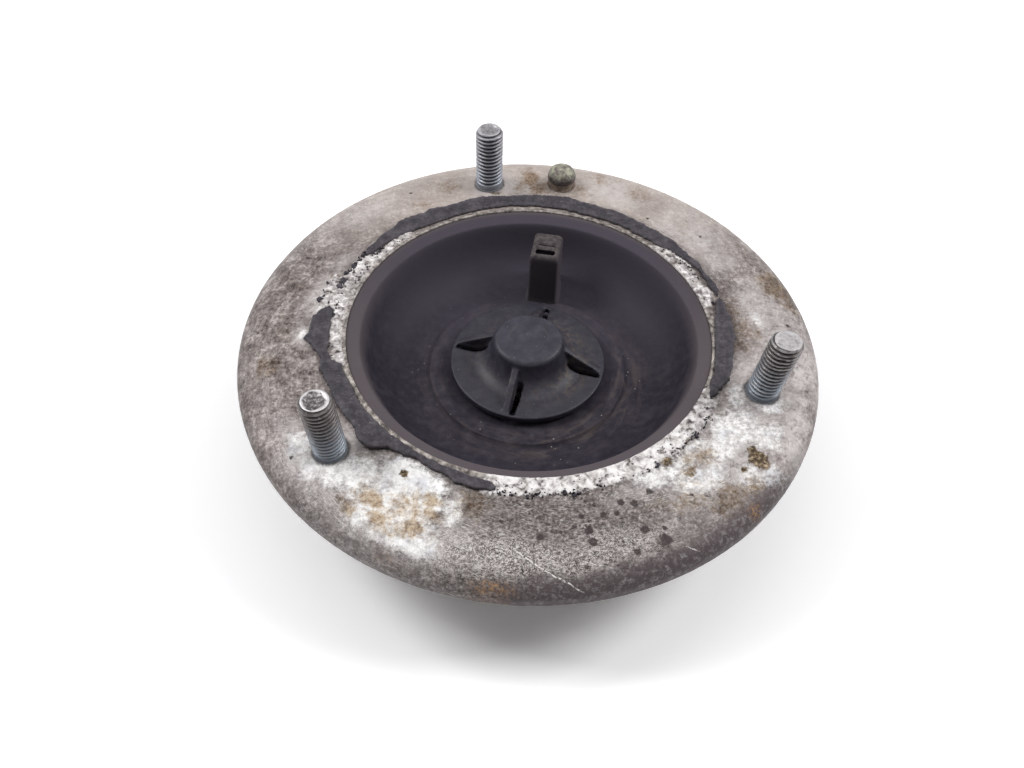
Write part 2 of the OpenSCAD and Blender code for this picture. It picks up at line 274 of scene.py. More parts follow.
class Shape:
    """Points in millimetres, faces and masks at the points, gathered from parts with the same masks."""

    def __init__(self):
        self.points, self.faces, self.masks, self.count = [], [], {}, 0

    def add(self, points, faces, masks):
        """Adds a part; a mask is a number or a value for each point."""
        points = np.asarray(points, float).reshape(-1, 3)
        self.points.append(points)
        self.faces += [[i + self.count for i in face] for face in faces]
        for name, values in masks.items():
            values = np.broadcast_to(np.asarray(values, float).ravel(), (len(points),))
            self.masks.setdefault(name, []).append(values)
        self.count += len(points)

    def add_ring(self, x, y, z, masks, closed=True):
        """A grid of rings; open ends are closed by one face each."""
        rows, cols = x.shape
        faces = grid_faces(rows, cols, closed).tolist()
        if not closed:
            faces.append(list(range(cols))[::-1])
            faces.append([(rows - 1) * cols + i for i in range(cols)])
        self.add(np.stack([x, y, z], axis=-1), faces, masks)

    def add_stack(self, rings, masks):
        """Closed outlines of (x, y, z) points, one above the other."""
        self.add_ring(*np.moveaxis(np.array(rings), -1, 0), masks, closed=False)

    def build(self, name, material=None):
        """The finished object, with smooth faces that point outwards."""
        mesh = bpy.data.meshes.new(name)
        mesh.from_pydata((np.concatenate(self.points) * MM).tolist(), [], self.faces)
        mesh.validate()
        dress(mesh, material, {mask: np.concatenate(parts) for mask, parts in self.masks.items()})
        return show(name, mesh)


def keep_result(piece):
    """Makes a piece's modified mesh its own mesh."""
    bpy.context.view_layer.update()
    done = piece.evaluated_get(bpy.context.evaluated_depsgraph_get())
    mesh = bpy.data.meshes.new_from_object(done)
    piece.modifiers.clear()
    piece.data = mesh


# Material nodes


class Field:
    """A value in a node tree; sums, differences and products of fields become math nodes."""

    def __init__(self, nodes, socket):
        self.nodes, self.socket = nodes, socket

    def __add__(self, other):
        return self.nodes.math("ADD", self, other)

    def __sub__(self, other):
        return self.nodes.math("SUBTRACT", self, other)

    def __rsub__(self, other):
        return self.nodes.math("SUBTRACT", other, self)

    def __mul__(self, other):
        return self.nodes.math("MULTIPLY", self, other)

    __radd__ = __add__
    __rmul__ = __mul__

    def capped(self):
        """The value, but at most 1."""
        return self.nodes.math("MINIMUM", self, 1)


class Nodes:
    """Short ways to build a node tree."""

    def __init__(self, tree):
        self.tree = tree

    def plug(self, socket, value):
        """Puts a field, a colour or a plain value into a socket."""
        if isinstance(value, Field):
            self.tree.links.new(value.socket, socket)
        else:
            socket.default_value = (*value, 1) if socket.type == "RGBA" else value

    def node(self, kind, inputs, **settings):
        made = self.tree.nodes.new(kind)
        for key, value in settings.items():
            setattr(made, key, value)
        for key, value in inputs.items():
            self.plug(made.inputs[key], value)
        return made

    def field(self, kind, inputs, out=0, **settings):
        """One output of a new node."""
        return Field(self, self.node(kind, inputs, **settings).outputs[out])

    def math(self, operation, a, b=0.5):
        return self.field("ShaderNodeMath", {0: a, 1: b}, operation=operation)

    def parts(self, vector):
        """The x, y and z of a vector."""
        return [Field(self, socket) for socket in self.node("ShaderNodeSeparateXYZ", {0: vector}).outputs]

    def length(self, vector):
        return self.field("ShaderNodeVectorMath", {0: vector}, "Value", operation="LENGTH")

    def background_rays(self):
        """1 for rays that show the background: the camera's own, reflected and refracted ones."""
        kinds = ("Is Camera Ray", "Is Glossy Ray", "Is Transmission Ray")
        camera, glossy, refracted = (self.field("ShaderNodeLightPath", {}, kind) for kind in kinds)
        return self.math("MAXIMUM", self.math("MAXIMUM", camera, glossy), refracted)


class Look(Nodes):
    """A material built up in coats of colour around one principled shader."""

    def __init__(self, name, **constants):
        self.material = bpy.data.materials.new(name)
        self.material.use_nodes = True
        super().__init__(self.material.node_tree)
        self.set(**constants)
        self.place = self.field("ShaderNodeTexCoord", {}, "Object")
        self.colour = WHITE

    def set(self, **inputs):
        """Sets inputs of the shader."""
        for key, value in inputs.items():
            self.plug(self.tree.nodes["Principled BSDF"].inputs[key.replace("_", " ")], value)

    def mask(self, name):
        return self.field("ShaderNodeAttribute", {}, "Fac", attribute_name=name)

    def noise(self, size, detail=4, rough=0.55, warp=0, place=None):
        """Noise with features of that size in millimetres, or in the units of a given place."""
        scale = 1 / (size * MM) if place is None else 1 / size
        inputs = {"Vector": place or self.place, "Scale": scale, "Detail": detail, "Roughness": rough,
                  "Distortion": warp}
        return self.field("ShaderNodeTexNoise", inputs, "Fac")

    def specks(self, size, low, high):
        """Scattered specks, about that size apart."""
        inputs = {"Vector": self.place, "Scale": 1 / (size * MM)}
        return self.steps(self.field("ShaderNodeTexVoronoi", inputs, "Distance"), low, high)

    def steps(self, value, low, high):
        """Value from low to high as 0 to 1, smoothly."""
        inputs = {"Value": value, "From Min": low, "From Max": high}
        return self.field("ShaderNodeMapRange", inputs, "Result", interpolation_type="SMOOTHSTEP")

    def grains(self, low, high, *noise):
        """Noise with its range from low to high drawn out to 0 to 1."""
        return self.steps(self.noise(*noise), low, high)

    def spread(self, mask, grain, share, low, high):
        """A mask whose edge is broken up by a grain."""
        return self.steps(self.mask(mask) + share * grain, low, high)

    def ramp(self, value, *stops):
        """Colour along stops of (place, colour)."""
        made = self.node("ShaderNodeValToRGB", {"Fac": value})
        points = made.color_ramp.elements
        while len(points) < len(stops):
            points.new(0.5)
        for point, (place, colour) in zip(points, stops):
            point.position = place
            point.color = (*colour, 1)
        return Field(self, made.outputs["Color"])

    def mix(self, share, a, b, blend="MIX"):
        """Colour a towards colour b by a share."""
        inputs = {0: share, 6: a, 7: b}
        return self.field("ShaderNodeMix", inputs, 2, data_type="RGBA", blend_type=blend)

    def coat(self, share, tone, blend="MIX"):
        """Lays a tone over the colour so far, by a share."""
        self.colour = self.mix(share, self.colour, tone, blend)

    def round_the_axis(self, along, across, about_r, tilt=0):
        """Place in a ring's own directions: a unit is along millimetres round it, across ones outwards."""
        x, y, z = self.parts(self.place)
        turn = self.math("ARCTAN2", y, x) * about_r
        out = self.length(self.field("ShaderNodeCombineXYZ", {0: x, 1: y})) * (1 / MM)
        far = (turn + tilt * out) * (1 / along)
        wide = (out - tilt * turn) * (1 / across)
        down = z * (1 / (across * MM))
        return self.field("ShaderNodeCombineXYZ", {0: far, 1: wide, 2: down})

    def done(self, *bumps, **inputs):
        """The material with its colour, other inputs and bumps of height, depth in mm and strength."""
        below = {}
        for height, depth, strength in bumps:
            layer = {"Height": height, "Distance": depth * MM, "Strength": strength, **below}
            below = {"Normal": self.field("ShaderNodeBump", layer)}
        self.set(Base_Color=self.colour, **below, **inputs)
        return self.material


# Flange

# Arcs of the dish edge where the skin is torn off: first and last direction, outer radius of the white
# crust, share of the crumbs of skin in it and their size
CRUST_ARCS = (
    (135, 153, 51.3, 0.1, 0.17), (149, 169, 53.4, 0.22, 0.24), (165, 182, 56.4, 0.14, 0.26),
    (175, 200, 52, 0.04, 0.12), (13, 46, 51.2, 0.12, 0.15), (-98, -23, 52.2, 0.38, 0.13),
)

# Patches of white oxide: direction, radius, half length, half width, strength
OXIDE = (
    (-118.4, 55.1, 5.8, 4.7, 1), (-115.3, 63.5, 9.7, 7.6, 1), (-110.8, 69.3, 6.9, 3.1, 0.8),
    (-127.6, 61.7, 5, 4.5, 0.75), (-104.6, 60.2, 2.6, 4, 0.55), (-131.6, 64.6, 5, 4.2, 0.68),
    (-120.7, 68.4, 4.4, 4, 0.8), (-111.7, 55.6, 4.7, 3.6, 0.9), (-110.5, 60, 4.5, 4.5, 0.95),
    (-135.2, 67.9, 3.4, 2.8, 0.7), (-141.6, 67, 3.6, 2.6, 0.66), (-173.6, 58.8, 2.4, 1.4, 0.6),
    (-30.5, 58.6, 7.5, 5.5, 0.6), (-47.4, 61, 7, 4, 0.6), (-42.9, 55.6, 5.4, 4.7, 0.52),
    (-29, 66.6, 5.1, 4, 0.55), (-19.8, 64, 3.5, 3.7, 0.58), (-21.2, 56, 4.5, 2.5, 0.55),
    (-37.2, 59, 5, 3.6, 0.58), (-56.1, 55, 4.8, 3, 0.66), (-50.4, 56.4, 4.2, 2.9, 0.62),
    (-35.6, 72.4, 3.6, 2.7, 0.5), (-39.9, 68.7, 3.5, 2.9, 0.5), (6.9, 61.1, 3, 1.6, 0.45),
)

# Soft pale clouds on the metal and round the oxide
BLOOM = (
    (103.8, 59, 6, 3.5, 0.8), (97.1, 60.3, 6, 4, 0.9), (70.5, 63.7, 6.5, 4.5, 0.9),
    (66.5, 61.5, 5.5, 4, 0.7), (48.1, 58.5, 5, 5, 0.6), (48.2, 66.9, 6, 5, 0.5), (38.9, 61.8, 7, 6, 0.8),
    (29.3, 60.8, 5, 5, 0.6), (13.9, 62, 6, 4.5, 0.8), (6.9, 61.1, 5, 4, 0.9), (18.3, 67.1, 4, 3.5, 0.7),
    (-11.1, 56.4, 6, 3.5, 0.8), (173.5, 57.4, 6.5, 3, 0.9), (-173.6, 58.8, 3.5, 2.2, 0.9),
    (167.2, 56.3, 4, 3.2, 0.8), (158.3, 55.2, 5, 3.4, 0.6), (-142.6, 66.1, 6, 3, 0.7),
    (-135.2, 67.9, 4, 3, 0.8), (-131.6, 64.4, 5, 4.5, 0.9), (-22.6, 71.1, 10, 3.5, 0.8),
    (-28.4, 73, 6, 3.4, 0.9), (-116, 63, 15, 10, 0.95), (-35, 61.5, 18, 9, 0.9), (-49, 61, 9, 6.5, 0.85),
    (-17, 62.5, 8, 8, 0.95), (-137.5, 62.5, 7.6, 7.6, 0.95), (103.4, 62.5, 6.5, 6.5, 0.6),
    (0, 66, 12, 7, 0.8), (-8, 71, 10, 5, 0.85), (12, 66, 9, 7, 0.7), (140, 66, 12, 5, 0.5),
    (-60, 56.5, 8, 3, 0.5),
)

# Tan and brown stains
STAINS = (
    (-120.6, 64.2, 3.6, 2.8, 0.95), (-116, 62.9, 2.6, 2.2, 0.6), (-109.2, 58.6, 2.6, 2.6, 0.7),
    (-107.8, 62, 3.4, 2.2, 0.85), (-111, 66.5, 3.6, 2.8, 1), (-117.4, 68, 4.2, 2.4, 0.8),
    (-123.6, 69.4, 3, 2.2, 0.7), (-113.9, 64, 9, 6, 0.5), (-100.9, 56.6, 3.1, 4.6, 0.55),
    (-43.9, 57.5, 3.8, 3.4, 0.55), (-47.8, 57.9, 2.8, 2.3, 0.75), (-41.7, 51.4, 2.9, 2.5, 0.4),
    (-52.9, 63.4, 5.1, 3.6, 0.45), (-46.7, 69.2, 4.9, 3.7, 0.6), (-41.2, 71.2, 3, 2.3, 0.5),
    (-59.3, 61.5, 4.2, 2.7, 0.4), (16.5, 71.8, 6.2, 4.5, 0.75), (19.8, 70.6, 4.2, 3.6, 0.55),
    (3.4, 57.1, 5.1, 3.8, 0.5), (-2.3, 55.1, 3.6, 2.6, 0.5), (11.1, 55.4, 5.2, 2.7, 0.45),
    (11.9, 72.4, 4.5, 2.9, 0.6), (91.9, 64.2, 2.5, 4, 0.75), (94.8, 60.7, 2.5, 3, 0.5),
    (89.8, 59.4, 3, 3, 0.6), (114.1, 62.9, 3.6, 3, 0.4), (77.4, 60.9, 4.7, 3.2, 0.45),
    (73.3, 67.9, 3.5, 3.2, 0.4), (124.1, 58.7, 2.9, 2.9, 0.35), (61.6, 66.4, 3.8, 3.6, 0.35),
    (-164.6, 67.7, 3.4, 2.5, 0.5), (147.6, 62.6, 3.3, 3.6, 0.25), (170.9, 63.4, 3.8, 3.9, 0.3),
    (-175.4, 63.7, 5, 2.7, 0.3), (163.9, 53.2, 3.9, 4.4, 0.35),
)

# Dark brown, crumbling spots
SCABS = (
    (-34.8, 67.2, 2.5, 2.5, 0.9), (-33.8, 65, 1.8, 1.4, 0.7), (-35.2, 69.1, 1.8, 1.6, 0.7),
    (-39.1, 66.6, 1.1, 1, 0.6), (-119.2, 55.2, 1, 1, 0.9), (-48.2, 58.3, 1.9, 1.5, 0.5),
    (-50.5, 53, 1.4, 1.2, 0.6), (101.9, 57.3, 1.8, 1, 0.5),
)

# Round dark pits: direction, radius, pit radius
PITS = (
    (-66.8, 57.4, 0.95), (-64.1, 58.7, 1), (-71.8, 59.4, 0.9), (-75.8, 62.3, 1.25), (-75.6, 65.3, 1.15),
    (-65.1, 65.6, 1.1), (-62.5, 69.6, 1.6), (-68.2, 69.9, 0.9), (-76.4, 58.4, 0.75), (-68.8, 59.7, 0.7),
    (-59.4, 57.3, 0.85), (-61.3, 67, 0.6), (-85.7, 63, 1), (-72.9, 56.4, 0.55), (-78.5, 61, 0.6),
    (-52, 63, 0.5), (-94, 59.5, 0.5), (-70, 66.8, 0.5), (-140, 70, 0.6), (160, 67, 0.6), (40, 63, 0.5),
    (5, 69, 0.6), (55, 58, 0.5), (125, 66, 0.5),
)

# Worn bright stretches of the shoulder, dark smears and rust, as patches
WORN = (
    (-92, 68, 22, 5, 1), (-72, 67.5, 12, 4, 0.8), (-150, 69, 20, 3, 0.4), (140, 69, 25, 4, 0.5),
    (-118, 72, 10, 2, 0.5),
)
SMEARS = (
    (-82.5, 54.9, 2.7, 2.1, 0.5), (-94.3, 57.9, 4.4, 2.6, 0.45), (-99.5, 54.9, 2.8, 4.2, 0.5),
    (-87.7, 62.5, 5.7, 2.5, 0.35), (-60.5, 71.7, 6.5, 3.3, 0.6), (-50.6, 74, 6.1, 3.4, 0.8),
    (148.6, 65.5, 4.3, 4.7, 0.3), (174.7, 72.7, 7.1, 4.3, 0.3), (-69.4, 57.3, 4.4, 2.8, 0.35),
    (-66, 65.4, 5.1, 2.9, 0.3), (-54.4, 69, 4.2, 2.7, 0.4), (-151.5, 71.7, 8.4, 3.5, 0.35),
    (-133.9, 75.6, 4.6, 2.6, 0.4), (57.5, 63.9, 5, 4.4, 0.3), (37.6, 68.4, 4.2, 5.7, 0.3),
    (-60, 74.6, 20, 4.4, 1), (-47, 75, 12, 4.4, 1), (-84, 73.2, 12, 2, 0.45), (-116, 74, 20, 3, 0.6),
    (-160, 71, 16, 2, 0.5),
)
RUST = ((-94, 74.6, 4.5, 1.4, 1), (-44.3, 74.2, 1.8, 1.4, 0.8), (-112, 74.5, 3, 1, 0.35))

# Long scratches on the front: start and end as direction and radius, sag, half width, strength
SCRATCHES = (
    ((-92.7, 64.6), (-78.8, 75.4), 1.1, 0.12, 0.8), ((-61.8, 71.1), (-57.6, 74.6), -0.3, 0.09, 0.55),
    ((-78.8, 69.1), (-72.5, 72.1), 0.3, 0.08, 0.5), ((-82.8, 65.9), (-76.9, 68.6), 0.2, 0.07, 0.35),
)

# Ring that a nut's flange has pressed into the face round each stud
IMPRINT_R = 8.3
# Reach of the painted shade, nearly black, in the corner round each stud
STUD_SHADE_R = 4.6


def flange_section():
    """The flange's closed section from the dish edge outwards, under and back up the collar."""
    seat_r = FLANGE_R - EDGE_W
    under_z = UNDER_R - FLANGE_T
    fillet_z = -FLANGE_T - COLLAR_FILLET
    collar_r = DISH_R + COLLAR_WALL + COLLAR_TAPER * FLANGE_T / COLLAR_Z
    foot = COLLAR_WALL / 2
    return outline(
        [(DISH_R, 0), (DISH_R, BEAD_H), (DISH_R + BEAD_W / 2, BEAD_H), (DISH_R + BEAD_W, BEAD_H)],
        line((DISH_R + BEAD_W + BEAD_H, 0), (seat_r, 0), 0.5),
        arc(seat_r, -EDGE_DROP, EDGE_W, EDGE_DROP, 90, 0, 26),
        line((FLANGE_R, -EDGE_DROP), (FLANGE_R, under_z), 0.5),
        arc(FLANGE_R - UNDER_R, under_z, UNDER_R, UNDER_R, 0, -90, 4),
        line((FLANGE_R - UNDER_R, -FLANGE_T), (collar_r + COLLAR_FILLET, -FLANGE_T), 1.2),
        arc(collar_r + COLLAR_FILLET, fillet_z, COLLAR_FILLET, COLLAR_FILLET, 90, 180, 6),
        line((collar_r, fillet_z), (COLLAR_LOW_R + COLLAR_WALL, foot + COLLAR_Z), 1.5),
        arc(COLLAR_LOW_R + COLLAR_WALL - foot, foot + COLLAR_Z, foot, foot, 0, -90, 6),
        [(COLLAR_LOW_R, COLLAR_Z)],
    )


def crust_mask(x, y, az, r):
    """White crust round the dish edge where the skin is torn off."""
    found = np.zeros_like(x)
    edge = 3.4 * swing(x, y, 0 * x, 4.5, 11)
    for start, end, reach, _, _ in CRUST_ARCS:
        half = (end - start) / 2
        beside = np.abs(turn_from(az, (start + end) / 2))
        along = smooth(half + 3, half - 2, beside + 2 * edge)
        found = np.maximum(found, along * smooth(reach + 0.9, reach - 0.7, r + edge))
    return found


def stud_feet(x, y):
    """Distance from the nearest place where a leaning stud leaves the face."""
    feet = [at(row[0], STUD_CIRCLE_R - LEAN_PIVOT * math.tan(math.radians(row[1]))) for row in STUDS]
    return np.min([np.hypot(x - foot_x, y - foot_y) for foot_x, foot_y in feet], axis=0)


def flange_masks(x, y, z, az, r):
    """Where the casting is crusted, stained, worn, dark or in painted shade; the pits as a distance in pit
    radii.
    """
    top = smooth(-7.6, -6.8, z)
    rag = 1.1 * swing(x, y, z, 6, 3)
    fine = 0.9 * swing(x, y, z, 2, 5)
    both = rag + fine
    pit = np.full_like(x, 3)
    for direction, out, size in PITS:
        px, py = at(direction, out)
        pit = np.minimum(pit, np.hypot(x - px, y - py) / size)

    def facing(middle, low, high, ragged):
        """Smooth step by the angle from a direction, with a ragged edge."""
        return smooth(low, high, np.abs(turn_from(az, middle)) + ragged * rag)

    # The rim is darkened all round and more at the front: partly grime, partly painted shade on the front
    # of the rim
    rim = smooth(-0.9, -3, z + 1.6 * swing(x, y, z, 9, 7))
    rim_grime_and_shade = 0.12 + 0.26 * facing(-108, 74, 44, 20) + 0.32 * facing(-60, 42, 24, 16)
    # A darker ring of metal round the skin at the back
    beside = smooth(57.5, 53.5, r + 5 * both) * smooth(-60, -20, turn_from(az, 40))
    smears = patches(x, y, SMEARS, rag, 0.7)
    thin_bead = smooth(49.1, 48.5, r + 0.6 * fine) * facing(160, 62, 50, 0)
    return {
        "oxide": top * patches(x, y, OXIDE, 0.6 * both, 0.5),
        "bloom": top * patches(x, y, BLOOM, 0.7 * both, 0.9),
        "crust": top * crust_mask(x, y, az, r) * (1 - 0.8 * thin_bead),
        "bead": top * smooth(49.9, 48.9, r + 1.6 * fine),
        "stain": top * patches(x, y, STAINS, 1.3 * both, 0.9),
        "scab": top * patches(x, y, SCABS, fine, 0.5),
        "worn": top * patches(x, y, WORN, rag, 0.6),
        "calm": facing(-84, 40, 62, 26),
        "pale": smooth(0.3, 0.97, at(az, 1)[1]),
        "dark": top * np.max([rim * rim_grime_and_shade, 0.75 * beside, smears], axis=0),
        "rust": patches(x, y, RUST, fine, 0.6) * smooth(-7.6, -6.5, z),
        "soot": top * facing(-62, 36, 22, 16) * smooth(70.6, 73.6, r + 3 * both),
        "pit": pit,
        # Painted shade in the corner where each stud leaves the face
        "gap": top * smooth(STUD_SHADE_R + 0.4, STUD_SHADE_R - 0.3, stud_feet(x, y) + 0.9 * fine),
        "under": 1 - top,
    }


def flange_relief(x, y, z, masks):
    """Height of the casting's surface above the plain section."""
    grain = swing(x, y, z, 1.6, 21)
    crumbs = fractal(x, y, z, 1.3, 31, 3)
    face = 1 - masks["under"]
    height = 0.07 * grain + 0.16 * swing(x, y, z, 14, 25, 2)
    height += masks["oxide"] * (0.03 + 0.16 * crumbs)
    height += masks["crust"] * (0.15 + 0.75 * crumbs * crumbs)
    height += masks["scab"] * (0.5 * crumbs - 0.15)
    height += masks["under"] * 0.18 * grain
    height -= 0.3 * face * smooth(1.1, 0.4, masks["pit"])
    height -= 0.12 * face * smooth(IMPRINT_R + 0.5, IMPRINT_R - 0.3, stud_feet(x, y))
    return height


def flange_casting(material):
    """The flange with its rough, corroded surface, one revolved grid."""
    section = flange_section()
    out = section_normals(section)
    az, r, z, x, y = revolve(section, FLANGE_STEPS)
    masks = flange_masks(x, y, z, az, r)
    free = smooth(DISH_R - 0.1, DISH_R + 0.5, r) * smooth(0.3, -0.3, z - BEAD_H)
    free = np.where(z < -FLANGE_T - COLLAR_FILLET, 1, np.maximum(free, 0.35))
    free[(r <= DISH_R) & (r >= COLLAR_LOW_R) & (z <= 0)] = 0
    height = free * flange_relief(x, y, z, masks)
    shape = Shape()
    shape.add_ring(*at(az, r + height * out[:, :1]), z + height * out[:, 1:], masks)
    return shape.build("flange_casting", material)


def hair_lines(look):
    """Fine light scratches, in groups, that run about along the ring."""
    lines = []
    for along, across, tilt, low, high in ((2.4, 0.26, 0.25, 0.57, 0.66), (1.8, 0.22, -0.45, 0.58, 0.68)):
        place = look.round_the_axis(along, across, STUD_CIRCLE_R, tilt)
        lines.append(look.grains(low, high, 1, 2, 0.5, 0.35, place))
    return (look.math("MAXIMUM", *lines) * (0.25 + look.grains(0.42, 0.62, 6, 3))).capped()


def scratch_mask(look, start, end, sag, half, strength):
    """One long scratch, drawn as a thin bent line with a broken edge."""
    (sx, sy), (ex, ey) = at(*start), at(*end)
    length = math.dist((sx, sy), (ex, ey))
    inputs = {"Vector": look.place, "Location": (sx * MM, sy * MM, 0),
              "Rotation": (0, 0, math.atan2(ey - sy, ex - sx))}
    along, beside, _ = look.parts(look.field("ShaderNodeMapping", inputs, vector_type="TEXTURE"))
    middle = along * (2 / (length * MM)) - 1
    bend = (1 - middle * middle) * (sag * MM)
    wave = (look.noise(2, 3) - 0.5) * (0.9 * MM)
    thin = look.steps(look.math("ABSOLUTE", beside + bend + wave), half * MM * 1.6, half * MM * 0.5)
    begun = look.steps(along, -0.2 * MM, 1.2 * MM)
    going = look.steps(along, (length + 0.4) * MM, (length - 1.2) * MM)
    return strength * thin * begun * going * look.grains(0.4, 0.56, 0.6, 2)


def bare_metal(look, fine, hair):
    """Mottled beige metal at the sides and the back, darker scratched and speckled metal at the front."""
    clouds = look.noise(7, 5, 0.6)
    spots = look.noise(2, 7, 0.74)
    wiped = look.noise(1, 4, 0.6, 0.6, look.round_the_axis(4.5, 1.3, STUD_CIRCLE_R, 0.35))
    calm = look.ramp(0.25 * clouds + 0.34 * spots + 0.18 * wiped + 0.23 * fine,
                     (0.425, (0.05, 0.038, 0.036)), (0.475, (0.126, 0.104, 0.098)),
                     (0.52, (0.206, 0.177, 0.168)), (0.575, (0.39, 0.352, 0.338)))
    calm = look.mix(0.56 * look.mask("pale"), calm, (0.56, 0.485, 0.44))
    rough = look.ramp(0.42 * spots + 0.58 * fine,
                      (0.4, (0.03, 0.024, 0.022)), (0.47, (0.077, 0.063, 0.06)),
                      (0.53, (0.138, 0.117, 0.111)), (0.62, (0.33, 0.296, 0.284)))
    look.colour = look.mix(look.mask("calm"), rough, calm)
    look.coat(hair * (0.74 - 0.5 * look.mask("calm")), (0.5, 0.47, 0.453))
    look.coat(0.8 * look.mask("worn") * look.grains(0.5, 0.6, 0.42, 3, 0.6, 1.2), (0.61, 0.58, 0.56))
    look.coat(0.78 * look.mask("bloom") * look.grains(0.27, 0.56, 2.2, 6, 0.7), (0.54, 0.505, 0.5))


def oxide_tone(look):
    """White powder, bluish in places."""
    powder = look.ramp(look.noise(2.4, 8, 0.74), (0.34, (0.48, 0.45, 0.435)), (0.42, (0.72, 0.705, 0.7)),
                       (0.5, (0.89, 0.88, 0.875)), (0.62, (0.96, 0.95, 0.93)))
    return look.mix(0.6 * look.grains(0.5, 0.66, 6.5, 3), powder, (0.66, 0.68, 0.76), "MULTIPLY")


def crust_tone(look, crumbs):
    """Lumpy white, grubby in places and dusty grey away from the front."""
    tone = look.ramp(crumbs, (0.33, (0.1, 0.09, 0.088)), (0.4, (0.36, 0.335, 0.325)),
                     (0.48, (0.64, 0.615, 0.61)), (0.6, (0.84, 0.82, 0.81)))
    tone = look.mix(0.6 * look.grains(0.5, 0.64, 2.6, 4), tone, (0.56, 0.52, 0.5), "MULTIPLY")
    dusty = look.mask("calm") * look.grains(0.38, 0.6, 1.9, 5, 0.66)
    return look.mix(dusty, tone, (0.5, 0.475, 0.475), "MULTIPLY")


def aluminium_look():
    """Weathered cast aluminium: clouded metal, scratches, white oxide, stains, crust, a rim darkened by
    grime and painted shade, and painted shade round the studs.
    """
    look = Look("weathered_aluminium", Specular_IOR_Level=0.16)
    fine = look.noise(0.8, 5, 0.62)
    hair = hair_lines(look)
    bare_metal(look, fine, hair)
    streak = look.noise(1, 5, 0.65, 0.4, look.round_the_axis(4, 0.7, FLANGE_R))
    # Darkens the rim, the metal round the skin at the back and the smears; on the rim it is grime and
    # painted shade
    dirt = (look.mask("dark") * (look.steps(streak, 0.38, 0.62) + 0.45)).capped()
    look.coat(0.68 * dirt, (0.1, 0.081, 0.079))
    soot = (look.mask("soot") * (0.6 + 0.6 * streak)).capped()
    look.coat(0.9 * soot, (0.066, 0.052, 0.056))
    oxide = look.spread("oxide", look.grains(0.36, 0.62, 1.6, 8, 0.78), 0.5, 0.36, 1.25)
    look.coat(0.97 * oxide, oxide_tone(look))
    stain = look.spread("stain", look.noise(1.7, 7, 0.74), 1.6, 0.9, 1.55)
    look.coat(stain, (0.6, 0.49, 0.365), "MULTIPLY")
    look.coat(stain * look.grains(0.44, 0.62, 0.9, 6, 0.72), (0.52, 0.46, 0.42), "MULTIPLY")
    bead = look.ramp(look.noise(1.6, 5, 0.66), (0.38, (0.07, 0.06, 0.056)), (0.5, (0.21, 0.186, 0.172)),
                     (0.64, (0.44, 0.4, 0.37)))
    look.coat(look.mask("bead"), bead)
    crumbs = look.noise(1.7, 4, 0.6, 0.5)
    crust = look.spread("crust", look.grains(0.36, 0.6, 1.3, 6, 0.66), 0.6, 0.45, 1.1)
    look.coat(crust, crust_tone(look, crumbs))
    scab = look.ramp(look.noise(0.9, 4, 0.65), (0.4, (0.035, 0.025, 0.017)), (0.53, (0.11, 0.076, 0.045)),
                     (0.66, (0.36, 0.29, 0.2)))
    look.coat(look.spread("scab", look.noise(1.1, 4, 0.6, 0.8), 1.4, 0.95, 1.35), scab)
    rust = look.ramp(look.noise(0.9, 4), (0.4, (0.12, 0.06, 0.03)), (0.62, (0.36, 0.2, 0.08)))
    look.coat(0.7 * look.mask("rust") * look.steps(fine, 0.42, 0.6), rust)
    pit = look.spread("pit", look.noise(1, 5, 0.66, 0.6), 1.6, 2, 1.5)
    look.coat(0.9 * pit, (0.034, 0.025, 0.025))
    # Painted shade: the corner round each stud nearly black
    look.coat(0.85 * look.mask("gap"), (0.03, 0.025, 0.025))
    for scratch in SCRATCHES:
        look.coat(scratch_mask(look, *scratch), (0.78, 0.76, 0.74))
    under = look.ramp(fine, (0.36, (0.1, 0.088, 0.08)), (0.5, (0.22, 0.2, 0.188)),
                      (0.66, (0.38, 0.36, 0.34)))
    look.coat(look.mask("under"), under)
    covered = look.math("MAXIMUM", oxide, crust)
    bumps = (fine, 0.14, 0.5), (hair, 0.03, 0.5), (crumbs, 0.3, 0.6 * covered)
    return look.done(*bumps, Metallic=0.3 - 0.3 * covered, Roughness=0.52 + 0.35 * covered)


# Seal skin

# What is left of the skin: stations of direction, inner radius, outer radius, lift of the outer edge
SKIN_BACK = (
    (152, 52.2, 53.4, 0), (149, 51.8, 54.2, 0), (145, 51.6, 54.6, 0), (140, 51.3, 55, 0),
    (134, 50.4, 56, 0.1), (127, 49.7, 55.2, 0.1), (116, 49.9, 54.6, 0), (108, 50.2, 55.5, 0),
    (97, 50.3, 54.9, 0), (84, 50.2, 55.3, 0.1), (73, 49.9, 54.9, 0), (60, 49.8, 54.9, 0.1),
    (50, 49.8, 54.3, 0.2), (44, 50.1, 54.7, 0.2), (38, 51.6, 54.3, 0.1), (32, 52.7, 54.3, 0.1),
    (27, 52.8, 53.9, 0), (21, 52.6, 54, 0), (17, 52.9, 53.6, 0),
)
SKIN_RIGHT = (
    (15.5, 52.4, 53.8, 0), (11, 50.8, 53.8, 0), (6, 49.2, 53.7, 0.1), (0, 48.8, 53.5, 0.1),
    (-8, 48.8, 52.8, 0.1), (-15, 48.8, 52.4, 0.1), (-20, 49, 52.2, 0.1), (-24.5, 49.8, 51.2, 0),
)
